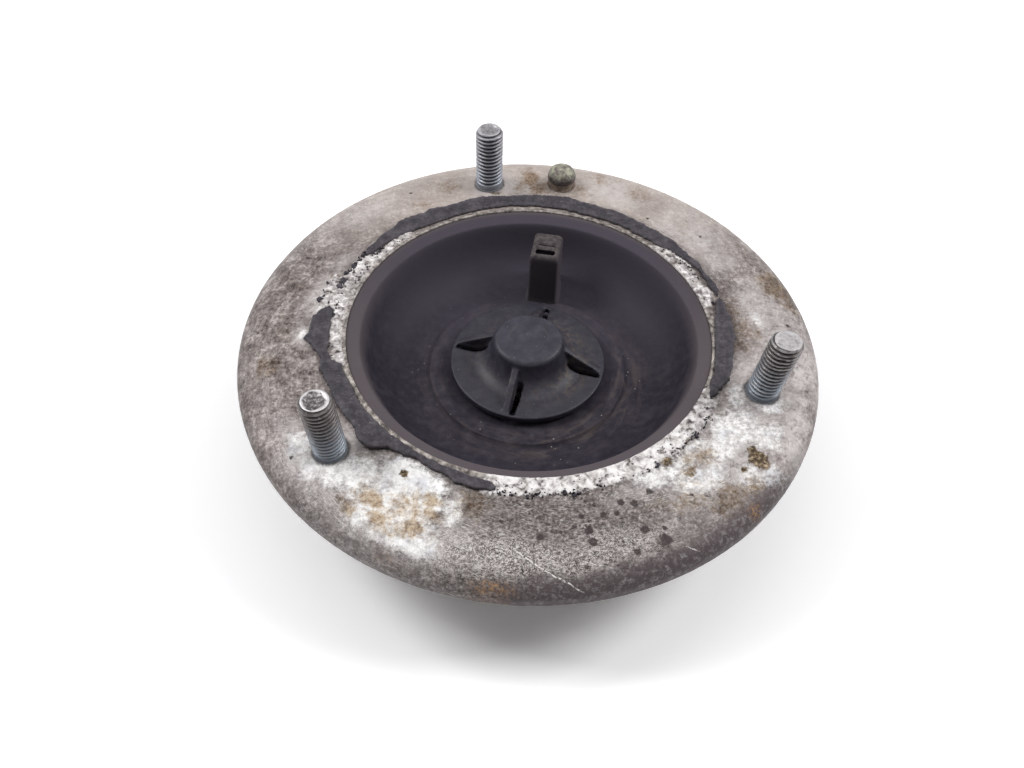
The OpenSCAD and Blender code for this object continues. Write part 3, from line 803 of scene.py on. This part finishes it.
SKIN_LEFT = (
    (176, 52.4, 54.6, 0), (180, 52, 56.4, 0), (-174.5, 52.2, 57.2, 0), (-172, 52.3, 58.6, 0.1),
    (-170, 52.3, 56.8, 0.1), (-167, 52.3, 55.2, 0.1), (-163.5, 52, 54.8, 0.1), (-161, 49.7, 54.7, 0.1),
    (-152, 49.2, 54.1, 0.1), (-144, 49.1, 54.3, 0.1), (-138, 49.1, 54.2, 0.2), (-133.5, 49, 56.2, 0.9),
    (-130, 48.9, 55.2, 1), (-127.5, 48.8, 52.4, 0.4), (-124, 48.8, 51.4, 0.1), (-119.5, 48.8, 50.5, 0),
    (-113, 48.9, 51.1, 0), (-107, 49, 51.8, 0.1), (-101, 49.6, 52.4, 0.1), (-96.4, 50.3, 52.6, 0.2),
)
# Degrees between the sections of the skin
SKIN_STEP = 0.3
FLECK_COUNT = 300
FLECK_CORNERS = 7
# Section of the skin: places across it from the inner to the outer edge, and their level
SKIN_ACROSS = np.array([0, -0.02, 0.03, 0.12, 0.3, 0.5, 0.7, 0.88, 0.97, 1.02, 1, 0.5])
SKIN_LEVEL = np.array([0, 0.45, 0.82, 0.97, 1, 1, 1, 0.97, 0.82, 0.45, 0, -0.1])


def skin_strip(shape, stations, seed):
    """One torn piece: a closed strip with a rounded section and ragged edges on both sides."""
    az, *sides = np.array(stations).T
    az = np.degrees(np.unwrap(np.radians(az)))
    fine = np.linspace(az[0], az[-1], int(abs(az[-1] - az[0]) / SKIN_STEP))
    order = np.argsort(az)
    r_in, r_out, lift = (np.interp(fine, az[order], side[order]) for side in sides)
    along = np.radians(fine) * DISH_R
    place = along, 0 * fine, 0 * fine
    r_in += 0.9 * swing(*place, 2.6, seed) + 0.5 * swing(*place, 0.7, seed + 4)
    r_out += 1.9 * swing(*place, 3.2, seed + 9, 5) + 0.5 * swing(*place, 0.7, seed + 14)
    pinch = 0.25 + 0.75 * smooth(0, 1, np.minimum(along - along.min(), along.max() - along))
    middle, width = (r_in + r_out) / 2, (r_out - r_in) * pinch
    r = (middle - width / 2)[:, None] + width[:, None] * SKIN_ACROSS
    x, y = at(fine[:, None], r)
    flat = 0 * x
    thick = SKIN_T * (0.8 + 0.5 * fractal(x, y, flat, 3, seed + 20))
    z = thick * SKIN_LEVEL + 0.14 * swing(x, y, flat, 0.9, seed + 30) * (SKIN_LEVEL > 0.3)
    z += lift[:, None] * np.clip(SKIN_ACROSS, 0, 1) ** 2
    edge = np.clip(np.abs(SKIN_ACROSS - 0.5) * 2, 0, 1) ** 4 + flat
    shape.add_ring(x, y, z, {"edge": edge}, closed=False)


def skin_flecks(shape):
    """Crumbs of skin left in the white crust, thickest along its outer edge."""
    rng = np.random.default_rng(7)
    shares = [row[3] for row in CRUST_ARCS]
    made = 0
    while made < FLECK_COUNT:
        start, end, reach, _, mean_size = CRUST_ARCS[rng.choice(len(shares), p=shares)]
        az = rng.uniform(start + 1, end - 1)
        outer = rng.uniform() < 0.72
        cx, cy = at(az, reach + rng.normal(0.1, 0.4) if outer else rng.uniform(DISH_R + 1.4, reach))
        if fractal(cx, cy, 0 * cx, 4, 77) + rng.uniform(-0.1, 0.1) < 0.47:
            continue
        size = np.clip(0.12 + rng.gamma(1.3, mean_size if outer else mean_size / 2), 0.14, 1)
        turn = np.linspace(0, 2 * np.pi, FLECK_CORNERS, endpoint=False) + rng.uniform(0, 6)
        size = size * rng.uniform(0.2, 1, FLECK_CORNERS)
        along, out = size * np.cos(turn) * rng.uniform(1, 1.8), size * np.sin(turn)
        a = math.radians(az) + rng.uniform(-0.5, 0.5)
        dx, dy = out * math.cos(a) - along * math.sin(a), out * math.sin(a) + along * math.cos(a)
        tilt_x, tilt_y = rng.uniform(-0.12, 0.12, 2)
        rings = [np.stack([cx + grow * dx, cy + grow * dy, level + tilt_x * dx + tilt_y * dy], axis=1)
                 for grow, level in ((1, -0.1), (1, 0.5), (0.6, 0.66))]
        shape.add_stack(rings, {"edge": 0})
        made += 1


def torn_seal(material):
    """The torn skin and its crumbs on the mounting face."""
    shape = Shape()
    for seed, stations in ((100, SKIN_BACK), (200, SKIN_RIGHT), (300, SKIN_LEFT)):
        skin_strip(shape, stations, seed)
    skin_flecks(shape)
    return shape.build("torn_seal", material)


def seal_look():
    """Dark, slightly purple rubber with dust, and paler edges that are partly wear and partly a painted
    highlight.
    """
    look = Look("torn_rubber", Roughness=0.62, Specular_IOR_Level=0.18)
    tone = look.noise(2.2, 6, 0.65)
    look.colour = look.ramp(tone, (0.36, (0.026, 0.023, 0.029)), (0.5, (0.044, 0.039, 0.048)),
                            (0.66, (0.08, 0.072, 0.083)))
    look.coat(0.35 * look.grains(0.56, 0.72, 0.8, 5, 0.7), (0.26, 0.24, 0.24))
    # Paler edges: partly wear of the torn edges, partly a painted highlight
    look.coat(0.25 * look.mask("edge"), (0.15, 0.137, 0.147))
    return look.done((look.noise(0.5, 4), 0.12, 0.6), (tone, 0.3, 0.4))


# Rubber dish

# Moulded rings round the cap: radius, height, half width
DISH_RINGS = ((24.2, 0.1, 0.9), (29.4, 0.08, 1), (32.2, 0.07, 1.2), (36.5, 0.05, 1.4))

# Levels of the lug from its root to its sunken top: height, inset from the full outline, corner radius
LUG_LEVELS = (
    (HOUSING_Z, -0.9, 1), (FLOOR_Z - 1, -0.8, 1), (FLOOR_Z + 0.4, -0.25, 0.9), (FLOOR_Z + 1.6, 0, 0.8),
    (-8, 0.05, 0.8), (LUG_TOP - 2.2, 0.12, 0.8), (LUG_TOP - 1.3, 0.2, 0.8), (LUG_TOP - 0.7, 0.4, 0.8),
    (LUG_TOP - 0.3, 0.72, 0.8), (LUG_TOP - 0.08, 1.05, 0.7), (LUG_TOP, 1.3, 0.6),
    (LUG_TOP - 0.06, 1.5, 0.5), (LUG_TOP - 0.2, 1.7, 0.4), (LUG_TOP - 0.22, 2.4, 0.3),
    (LUG_TOP - 0.22, 3.4, 0.2),
)
# Slot and fine line in the lug's top: setback from the lug's inner end, width, length, depth
LUG_CUTS = ((1.7, 1.9, 5.5, 2.5), (5.4, 0.35, 4.5, 0.5))
# Depth below which the inside of a slot is painted dark, as painted shade
SLOT_SHADE = 0.4


def dish_section():
    """Closed section of the rubber: bowl, lip, bonded wall, underside and the housing's seat."""
    trough_z = FLOOR_Z - TROUGH_DROP
    under_z = 2 * (trough_z - RUBBER_T) - (COLLAR_Z + RUBBER_LOW) / 2
    under_r = (COLLAR_LOW_R + HOUSING_R) / 2
    return outline(
        line((MOUTH_R, FLOOR_Z), (PAD_R - 0.5, FLOOR_Z), 0.6),
        arc(PAD_R - 0.5, FLOOR_Z - 0.5, 0.5, 0.5, 90, 30, 4),
        line((PAD_R + 0.3, FLOOR_Z - 0.6), (PAD_R + TROUGH_DROP, trough_z), 0.4),
        bezier(((TROUGH_R, trough_z), (BOWL_PULL_R, trough_z + 0.5), LIP_PULL, LIP_END), 57),
        line(LIP_END, (DISH_R - 0.3, -0.1), 0.5),
        [(DISH_R, 0)],
        bezier(((COLLAR_LOW_R, COLLAR_Z), (under_r, under_z), (HOUSING_R, RUBBER_LOW)), 15),
        [(HOUSING_R, HOUSING_Z), (MOUTH_R, HOUSING_Z)],
    )


def rubber_dish(material):
    """The bonded bowl with its square lug."""
    section = dish_section()
    out = section_normals(section)
    az, r, z, x, y = revolve(section, DISH_STEPS)
    upper = out[:, 1:] > -0.2
    back = at(az, 1)[1]
    bowl = smooth(0.05, -0.6, z) * smooth(DISH_R, DISH_R - 0.6, r) * upper
    height = 0.16 * swing(x, y, z, 11, 41, 3) + 0.05 * swing(x, y, z, 1.4, 43)
    for ring_r, ring_h, half in DISH_RINGS:
        height += ring_h * smooth(half, 0, np.abs(r - ring_r)) * smooth(-11, -13, z)
    height *= bowl * smooth(MOUTH_R, MOUTH_R + 0.8, r)
    # The lip is painted lighter grey: painted light on the lip, which faces up
    lip_r = LIP_R - 1.1 * smooth(-0.2, -0.9, back)
    lip = smooth(lip_r - 1.2, lip_r + 1.4, r) * upper * (0.9 + 0.1 * smooth(-0.95, -0.3, back))
    side = 0.35 + 0.65 * smooth(-0.3, 0.9, at(az + 40, 1)[0])
    dust = side * smooth(36, 27, r) * smooth(21, 25, r) * (z > -17)
    # The back half of the bowl, whose wall faces the front, is painted lighter: painted light
    film = bowl * (0.45 + 0.55 * smooth(30, 40, r)) * smooth(-0.3, 0.8, back)
    masks = {"lip": lip, "dust": dust, "film": film, "lug": 0, "slot": 0}
    shape = Shape()
    shape.add_ring(*at(az, r + height * out[:, :1]), z + height * out[:, 1:], masks)
    add_lug(shape)
    return shape.build("rubber_dish", material)


def rounded_box(centre_x, length, width, radius, z, steps=6):
    """Points of a rectangle with round corners on the x axis, anticlockwise at one height."""
    corners = []
    for sx, sy, turn in ((1, 1, 0), (-1, 1, 90), (-1, -1, 180), (1, -1, 270)):
        cx, cy = centre_x + sx * (length / 2 - radius), sy * (width / 2 - radius)
        corners.append(arc(cx, cy, radius, radius, turn, turn + 90, steps))
    ring = np.concatenate(corners)
    return np.column_stack([ring, np.full(len(ring), z)])


def add_lug(shape):
    """The square lug with soft edges, a raised rim, a slot and a fine line in its top."""
    lug = Shape()
    lug.add_stack([rounded_box(LUG_R + LUG_L / 2, LUG_L - 2 * inset, LUG_W - 2 * inset, corner, level)
                   for level, inset, corner in LUG_LEVELS], {})
    blank = lug.build("lug_blank")
    for cut in LUG_CUTS:
        cut_slot(blank, *cut)
    points = np.array([vertex.co for vertex in blank.data.vertices]) / MM
    faces = [list(face.vertices) for face in blank.data.polygons]
    bpy.data.objects.remove(blank)
    x, y, z = points.T
    slot = np.zeros_like(x)
    for setback, width, length, _ in LUG_CUTS:
        beside = np.abs(x - LUG_R - setback - width / 2) - width / 2
        inside = np.maximum(beside, np.abs(y) - length / 2) < 0.02
        slot = np.maximum(slot, inside * (z < LUG_TOP - SLOT_SHADE))
    turned = np.column_stack([*at(PIN_ANGLE + np.degrees(np.arctan2(y, x)), np.hypot(x, y)), z])
    # The lug's upper part is painted lighter: painted light on its top
    top = 0.25 + 0.75 * smooth(LUG_TOP - 1.6, LUG_TOP - 0.2, z)
    shape.add(turned, faces, {"lip": 0, "dust": 0, "film": 0, "lug": top, "slot": slot})


def cut_slot(piece, setback, width, length, depth):
    """Cuts a slot into the lug's top and keeps the result as its mesh."""
    middle = LUG_R + setback + width / 2
    cutter = Shape()
    cutter.add_stack([rounded_box(middle, width, length, width * 0.3, LUG_TOP + level, 3)
                      for level in (-depth, -SLOT_SHADE - 0.02, 0.06 - SLOT_SHADE, depth)], {})
    tool = cutter.build("cutter")
    cut = piece.modifiers.new("cut", "BOOLEAN")
    cut.operation, cut.object, cut.solver = "DIFFERENCE", tool, "EXACT"
    keep_result(piece)
    bpy.data.objects.remove(tool)


def dish_look():
    """Matt black rubber with brown dust in rings round the cap, and painted light: a greyer lip, a lighter
    back wall of the bowl and a lighter top on the lug; the slots dark with painted shade.
    """
    look = Look("dusty_rubber", Specular_IOR_Level=0.1)
    tone = look.noise(2.2, 6, 0.64)
    look.colour = look.ramp(tone, (0.36, (0.0177, 0.0149, 0.0222)), (0.52, (0.0243, 0.0209, 0.0297)),
                            (0.68, (0.0335, 0.0295, 0.0397)))
    # Painted light: the lip lighter grey
    look.coat(0.85 * look.mask("lip"), (0.105, 0.088, 0.095))
    rings = look.noise(1, 5, 0.65, 0.5, look.round_the_axis(9, 2.2, 28))
    dust = look.mask("dust")
    look.coat(0.32 * dust * look.steps(rings, 0.42, 0.68), (0.15, 0.115, 0.1))
    specks = (look.specks(2.6, 0.1, 0.04) * (0.12 + dust)).capped()
    look.coat(0.7 * specks, (0.34, 0.31, 0.28))
    look.coat(0.1 * look.grains(0.48, 0.68, 9, 5, 0.6), (0.13, 0.117, 0.123))
    # Painted light on the back half of the bowl
    look.coat(0.9 * look.mask("film"), (0.0605, 0.0525, 0.0695))
    look.coat(look.steps(look.mask("lug"), 0.05, 0.2), (0.06, 0.052, 0.061))
    # Painted light: the lug's top lighter than its sides
    lug = look.ramp(look.noise(1.4, 5), (0.4, (0.05, 0.042, 0.044)), (0.6, (0.088, 0.075, 0.077)))
    look.coat(look.steps(look.mask("lug"), 0.3, 1), lug)
    # Painted shade: the inside of the slots nearly black
    look.coat(look.mask("slot"), (0.01, 0.008, 0.01))
    return look.done((look.noise(0.7, 4), 0.1, 0.45), (rings, 0.15, 0.25), Roughness=0.5 + 0.3 * tone)


# Studs and pin


def stud_grid():
    """One stud about its own axis, from the head to the dimple: direction, radius, height and crest."""
    az = np.radians(ring_angles(STUD_STEPS))[None, :]
    head_z, top = STUD_LOW[2], STUD_REACH
    low = np.array([
        (0.05, head_z), (HEAD_R - 0.5, head_z), (HEAD_R - 0.15, head_z + 0.15), (HEAD_R, head_z + 0.5),
        (HEAD_R, -FLANGE_T - 0.4), (HEAD_R - 0.3, -FLANGE_T), (KNURL_R, -FLANGE_T), (KNURL_R, -0.3),
    ])
    tip = np.array([
        (STUD_R - TIP_SLOPE * STUD_TIP, top), (2.85, top), (2.6, top - 0.05), (2.35, top - 0.25),
        (2, top - 0.4), (1.4, top - 0.4), (0.8, top - 0.4), (0.05, top - 0.35),
    ])
    z = np.linspace(0, top - 0.05, SHANK_STEPS)[:, None]
    phase = (z / THREAD_PITCH - az / (2 * np.pi)) % 1
    ridge = np.clip(3.8 * (0.5 - np.abs(phase - 0.5)) - 0.35, 0, 1)
    fade = smooth(KNURL_REACH - 0.2, KNURL_REACH + 0.7, z)
    core = STUD_R - THREAD_DEPTH * (1 - ridge) * fade
    knurl = STUD_R - 0.1 + (KNURL_R - STUD_R + 0.1) * (np.cos(KNURL_COUNT * az) > -0.1)
    share = smooth(KNURL_REACH + 0.15, KNURL_REACH - 0.15, z)
    chamfer = STUD_R - TIP_SLOPE * np.maximum(0, z - top + STUD_TIP)
    shank = np.minimum(core * (1 - share) + knurl * share, chamfer)
    crest = ridge * fade + (1 - fade) * 0.5
    none = 0 * az
    r = np.concatenate([low[:, :1] + none, shank, tip[:, :1] + none])
    z = np.concatenate([low[:, 1:] + none, z + none, tip[:, 1:] + none])
    crest = np.concatenate([np.full((len(low), STUD_STEPS), 0.4), crest, np.ones((len(tip), STUD_STEPS))])
    return az + 0 * r, r, z, crest


def threaded_studs(material):
    """Three worn studs with real threads, knurls and heads."""
    shape = Shape()
    az, r, z, crest = stud_grid()
    seen = smooth(-0.4, 0.4, z)
    tip = (r < STUD_R - 0.8 * STUD_TIP) & (z > STUD_REACH - 0.7)
    for number, (direction, lean, dimple, pale, centre, painted_blue_light, worn) in enumerate(STUDS):
        turned = np.degrees(az + 2.1 * number)
        x, y = at(turned, r)
        dent = swing(x + 40 * number, y, z, 1.8, 51)
        x, y = at(turned, r - seen * np.maximum(dent - 0.12, 0) * 1.4 * crest + 0.05 * dent * seen)
        middle = centre * tip * smooth(2.8, 2.3, r + 1.6 * swing(x + 20 * number, y, 0 * x, 1.5, 57))
        masks = {"crest": crest, "height": smooth(0, STUD_REACH, z), "pale": pale * tip * (1 - middle),
                 "centre": middle, "painted_blue_light": painted_blue_light, "worn": worn}
        sunk = np.where(tip, STUD_REACH - (STUD_REACH - z) * dimple, z)
        lever = np.where(z > 0, z - LEAN_PIVOT, -LEAN_PIVOT * smooth(-FLANGE_T, 0, z))
        foot_x, foot_y = at(direction, STUD_CIRCLE_R + lever * math.tan(math.radians(lean)))
        shape.add_ring(foot_x + x, foot_y + y, sunk, masks, closed=False)
    return shape.build("threaded_studs", material)


def stud_look():
    """Dulled zinc: bluish near the plate, brown and dark towards the tip, bright on the crests from wear
    and a painted highlight, painted shade in the thread's roots and painted light over the back stud.
    """
    look = Look("dull_zinc", Metallic=0.5, Specular_IOR_Level=0.3)
    tone = look.noise(1.6, 6, 0.65)
    look.colour = look.ramp(look.mask("height") + 1.1 * (tone - 0.5), (0.06, (0.19, 0.215, 0.25)),
                            (0.36, (0.118, 0.122, 0.137)), (0.8, (0.078, 0.066, 0.063)))
    # Bright crests: partly wear, partly a painted highlight on the thread
    crest = look.steps(look.mask("crest"), 0.7, 1) * look.steps(tone, 0.36, 0.58)
    look.coat(0.66 * crest * look.mask("worn"), (0.41, 0.4, 0.415))
    # Painted light: a bluish lift over the whole stud, strongest on the back stud
    look.coat(0.5 * look.mask("painted_blue_light"), (0.36, 0.37, 0.415))
    # Painted shade: the thread's roots nearly black
    look.coat(0.9 * look.steps(look.mask("crest"), 0.62, 0.08), (0.014, 0.012, 0.012))
    look.coat(0.2 * look.grains(0.58, 0.7, 0.8, 5, 0.7), (0.5, 0.5, 0.5))
    centre = look.ramp(look.noise(0.7, 5, 0.66), (0.38, (0.042, 0.036, 0.037)),
                       (0.52, (0.125, 0.114, 0.118)), (0.68, (0.42, 0.4, 0.4)))
    look.coat(look.mask("centre"), centre)
    look.coat(look.spread("pale", look.noise(0.9, 5, 0.66), 1, 0.5, 1.3), (0.5, 0.48, 0.49))
    return look.done((look.noise(0.4, 4), 0.08, 0.6), Roughness=0.3 + 0.3 * tone)


def domed_pin(material):
    """The locating pin: a dented dome over a brown root with a groove between, which is painted dark as
    shade.
    """
    dome_z = PIN_REACH - PIN_DOME
    root = dome_z - 0.9
    section = outline(
        [(0.05, -FLANGE_T), (PIN_SHANK_R, -FLANGE_T), (PIN_SHANK_R, -0.3), (PIN_R - 0.2, -0.3)],
        line((PIN_R + 0.15, 0), (PIN_R - 0.1, 0.5), 0.25),
        line((PIN_R - 0.1, 0.5), (PIN_R - 0.15, root), 0.35),
        [(PIN_R - 0.45, root + 0.15), (PIN_R - 0.4, root + 0.35), (PIN_R - 0.08, root + 0.55)],
        line((PIN_R, root + 0.75), (PIN_R, dome_z), 0.2),
        arc(0, dome_z, PIN_R, PIN_DOME, 0, 89, 22),
    )
    _, _, z, x, y = revolve(section, PIN_STEPS)
    dent = smooth(-0.2, 0.3, z) * swing(x, y, z, 2.4, 61)
    scale = 1 + 0.06 * dent
    cx, cy = at(PIN_ANGLE, STUD_CIRCLE_R)
    masks = {"top": smooth(root + 0.2, root + 1.1, z),
             # The groove's mask, for painted shade
             "groove": smooth(0.5, 0.1, np.abs(z - root - 0.25)),
             "crown": smooth(dome_z, PIN_REACH - 0.8, z)}
    shape = Shape()
    sunk = z + 0.25 * dent * smooth(2, PIN_REACH, z)
    shape.add_ring(cx + x * scale, cy + y * scale, sunk, masks, closed=False)
    return shape.build("domed_pin", material)


def pin_look():
    """Dull steel under a mottled yellow-green layer, brown towards the plate, with painted shade on the
    waist under the dome and in the groove.
    """
    look = Look("stained_steel", Metallic=0.35, Specular_IOR_Level=0.2)
    tone = look.noise(1.6, 6, 0.66)
    crown = look.ramp(tone, (0.36, (0.09, 0.075, 0.072)), (0.48, (0.21, 0.198, 0.165)),
                      (0.58, (0.32, 0.32, 0.243)), (0.7, (0.47, 0.47, 0.39)))
    # Painted shade: the waist under the dome darker than the crown and root
    shaded_waist = look.ramp(tone, (0.38, (0.042, 0.035, 0.035)), (0.6, (0.145, 0.126, 0.122)))
    root = look.ramp(look.noise(1.2, 5), (0.4, (0.14, 0.107, 0.087)), (0.6, (0.26, 0.21, 0.175)))
    look.colour = look.mix(look.mask("top"), root, look.mix(look.mask("crown"), shaded_waist, crown))
    # Painted shade: the groove nearly black
    look.coat(0.85 * look.mask("groove"), (0.035, 0.028, 0.028))
    return look.done((tone, 0.2, 0.5), (look.noise(0.4, 4), 0.08, 0.5), Roughness=0.36 + 0.35 * tone)


# Dust cap

CAP_VOXEL = 0.3


def ribbed_cap(material):
    """The cap's own solid with moulded, softened edges."""
    piece = show("ribbed_cap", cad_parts["dust_cap"].data.copy())
    piece.modifiers.new("weld", "WELD").merge_threshold = 0.001 * MM
    grid = piece.modifiers.new("grid", "REMESH")
    grid.mode, grid.voxel_size = "VOXEL", CAP_VOXEL * MM
    soften = piece.modifiers.new("soften", "SMOOTH")
    soften.factor, soften.iterations = 0.5, 3
    keep_result(piece)
    points = np.empty(len(piece.data.vertices) * 3)
    piece.data.vertices.foreach_get("co", points)
    x, y, z = points.reshape(-1, 3).T / MM
    r, az = np.hypot(x, y), np.degrees(np.arctan2(y, x))
    side = 0.3 + 0.7 * smooth(0, 0.8, at(az - 10, 1)[0])
    masks = {"dirt": side * smooth(10, 12.5, r) * smooth(19.5, 15, r),
             "low": smooth(-13, -14.2, z), "brim": smooth(13, 15.5, r)}
    dress(piece.data, material, masks)
    return piece


def cap_look():
    """Dark grey moulded plastic with a soft sheen, dust and brown dirt in its corners."""
    look = Look("satin_plastic", Specular_IOR_Level=0.22)
    tone = look.noise(3, 6, 0.6)
    look.colour = look.ramp(tone, (0.36, (0.0242, 0.0222, 0.0315)), (0.52, (0.0335, 0.0312, 0.0425)),
                            (0.68, (0.0465, 0.044, 0.0575)))
    look.coat(0.6 * look.mask("dirt") * look.grains(0.4, 0.62, 2, 5, 0.65), (0.12, 0.095, 0.08))
    look.coat(0.45 * look.specks(2.2, 0.08, 0.03), (0.3, 0.29, 0.29))
    look.coat(0.35 * look.mask("brim"), (0.012, 0.012, 0.016))
    look.coat(0.6 * look.mask("low"), (0.03, 0.029, 0.031))
    return look.done((look.noise(0.6, 4), 0.06, 0.4), (tone, 0.2, 0.2), Roughness=0.34 + 0.24 * tone)


# Bearing and housing


def steel_look(name, dark, light, rough, metal=0.9, grime=0.3):
    """Machined steel with turning marks and oily grime."""
    look = Look(name, Metallic=metal, Specular_IOR_Level=0.5)
    marks = look.noise(1, 3, 0.6, 0, look.round_the_axis(20, 0.3, 20))
    tone = look.noise(2.5, 6, 0.62)
    look.colour = look.mix(look.steps(marks, 0.3, 0.7), dark, light)
    look.coat(grime * look.steps(tone, 0.42, 0.68), (0.07, 0.055, 0.042))
    return look.done((marks, 0.03, 0.4), (tone, 0.06, 0.25), Roughness=rough - 0.08 + 0.2 * tone)


def polymer_look():
    """Natural nylon, slightly yellowed, with grease."""
    look = Look("cage_nylon", Roughness=0.45, Subsurface_Weight=0.1)
    tone = look.noise(2, 5)
    look.colour = look.ramp(tone, (0.38, (0.42, 0.34, 0.2)), (0.6, (0.64, 0.56, 0.39)))
    return look.done((tone, 0.05, 0.3))


def dress_bearing():
    """Finishes for the solids that keep their own shape."""
    housing = steel_look("housing_steel", (0.2, 0.19, 0.185), (0.34, 0.33, 0.32), 0.5, 0.8, 0.55)
    shields = steel_look("shield_steel", (0.3, 0.3, 0.3), (0.46, 0.46, 0.46), 0.4)
    looks = {
        "bearing_housing": housing,
        "outer_race": steel_look("outer_race_steel", (0.4, 0.4, 0.41), (0.6, 0.6, 0.61), 0.28),
        "inner_race": steel_look("inner_race_steel", (0.42, 0.42, 0.43), (0.64, 0.64, 0.65), 0.26),
        "upper_shield": shields,
        "lower_shield": shields,
        "retaining_ring": steel_look("ring_steel", (0.1, 0.095, 0.095), (0.19, 0.18, 0.18), 0.48, 0.8),
        "ball_cage": polymer_look(),
    }
    balls = steel_look("ball_steel", (0.62, 0.62, 0.64), (0.78, 0.78, 0.8), 0.14, 1, 0.12)
    for name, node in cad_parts.items():
        finish = looks.get(name, balls if name.startswith("ball_") else None)
        if finish:
            node.data.materials.clear()
            node.data.materials.append(finish)


# Stage, light and camera

# Camera: place in millimetres, turn to the right, tilt down and roll in degrees, focal length in pixels
CAMERA_AT = (0, -166.1, 172.4)
CAMERA_YAW = -1.39
CAMERA_TILT = 49.62
CAMERA_ROLL = 1.9
CAMERA_FOCAL = 908.9
IMAGE_W = 1024
SENSOR_W = 36

FLOOR_REACH = 6
# How bright the background's rays see the floor; it lights the part as plain white
FLOOR_SEEN = (1.2, 1.195, 1.21)
# Distances in metres between which the floor turns into a plain white backdrop for those rays
FLOOR_FADE = (0.25, 0.6)

# Light: strength of the even light and of what the sides add; power, size and place in metres of the
# strip above the part and of the lamp on each side of it
SKY_LIGHT = 0.16
SIDE_LIGHT = 0.25
STRIP = (2.5, (1.2, 0.16), (-0.06, 0.28, 1.05))
WING_LIGHT = 9.5
WING_SIZE = (0.45, 0.45)
WING_AT = (0.85, 0.18, 0.87)


def add_camera():
    """The camera where the photograph was taken from."""
    place = Matrix.Translation(Vector(CAMERA_AT) * MM)
    for turn, axis in ((-CAMERA_YAW, "Z"), (90 - CAMERA_TILT, "X"), (CAMERA_ROLL, "Z")):
        place = place @ Matrix.Rotation(math.radians(turn), 4, axis)
    data = bpy.data.cameras.new("camera")
    data.sensor_width = SENSOR_W
    data.lens = SENSOR_W * CAMERA_FOCAL / IMAGE_W
    data.clip_start, data.clip_end = 0.01, 20
    camera = show("camera", data)
    camera.matrix_world = place
    bpy.context.scene.camera = camera


def add_floor():
    """A plain white floor under the part."""
    look = Look("white_floor", Roughness=0.8, Specular_IOR_Level=0.1)
    white = look.ramp(look.noise(60, 3), (0.3, (0.93, 0.93, 0.935)), (0.7, (0.95, 0.95, 0.95)))
    rays = look.background_rays()
    look.colour = look.mix(rays, white, FLOOR_SEEN)
    far = look.steps(look.length(look.place), *FLOOR_FADE)
    mesh = bpy.data.meshes.new("floor")
    corners = [(x * FLOOR_REACH, y * FLOOR_REACH, HOUSING_LOW[2] * MM)
               for x, y in ((-1, -1), (1, -1), (1, 1), (-1, 1))]
    mesh.from_pydata(corners, [], [(0, 1, 2, 3)])
    mesh.materials.append(look.done(Emission_Strength=rays * far))
    floor = show("floor", mesh)


def add_light():
    """Weak light from all round, most of it from the sides, a strip above and a broad lamp on each side."""
    world = bpy.data.worlds.new("studio")
    bpy.context.scene.world = world
    world.use_nodes = True
    sky = Nodes(world.node_tree)
    x = sky.parts(sky.field("ShaderNodeTexCoord", {}, "Generated"))[0]
    strength = SKY_LIGHT + SIDE_LIGHT * (x * x)
    light = sky.field("ShaderNodeBackground", {"Color": WHITE, "Strength": strength})
    seen = sky.field("ShaderNodeBackground", {"Color": WHITE})
    both = sky.field("ShaderNodeMixShader", {0: sky.background_rays(), 1: light, 2: seen})
    sky.plug(world.node_tree.nodes["World Output"].inputs["Surface"], both)
    add_lamp("strip", *STRIP)
    for side in (-1, 1):
        add_lamp("wing", WING_LIGHT, WING_SIZE, (side * WING_AT[0], *WING_AT[1:]))


def add_lamp(name, power, size, place):
    """A rectangular lamp that faces the part."""
    lamp = bpy.data.lights.new(name, "AREA")
    lamp.shape = "RECTANGLE"
    lamp.energy = power
    lamp.size, lamp.size_y = size
    holder = show(name, lamp)
    holder.location = place
    holder.rotation_euler = (-Vector(place)).to_track_quat("-Z", "Y").to_euler()


# Assembly

add_camera()
add_floor()
add_light()
for made, node, slot, body in (
    (flange_casting(aluminium_look()), "flange_plate", "cast_aluminium", "mount"),
    (torn_seal(seal_look()), "seal_skin", "seal_rubber", "mount"),
    (rubber_dish(dish_look()), "rubber_bush", "dish_rubber", "mount"),
    (threaded_studs(stud_look()), "studs", "zinc_steel", "mount"),
    (domed_pin(pin_look()), "locating_pin", "pin_steel", "mount"),
    (ribbed_cap(cap_look()), "dust_cap", "cap_plastic", "cap"),
):
    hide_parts(node)
    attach(made, body)
dress_bearing()
bpy.context.scene.view_settings.view_transform = "Standard"
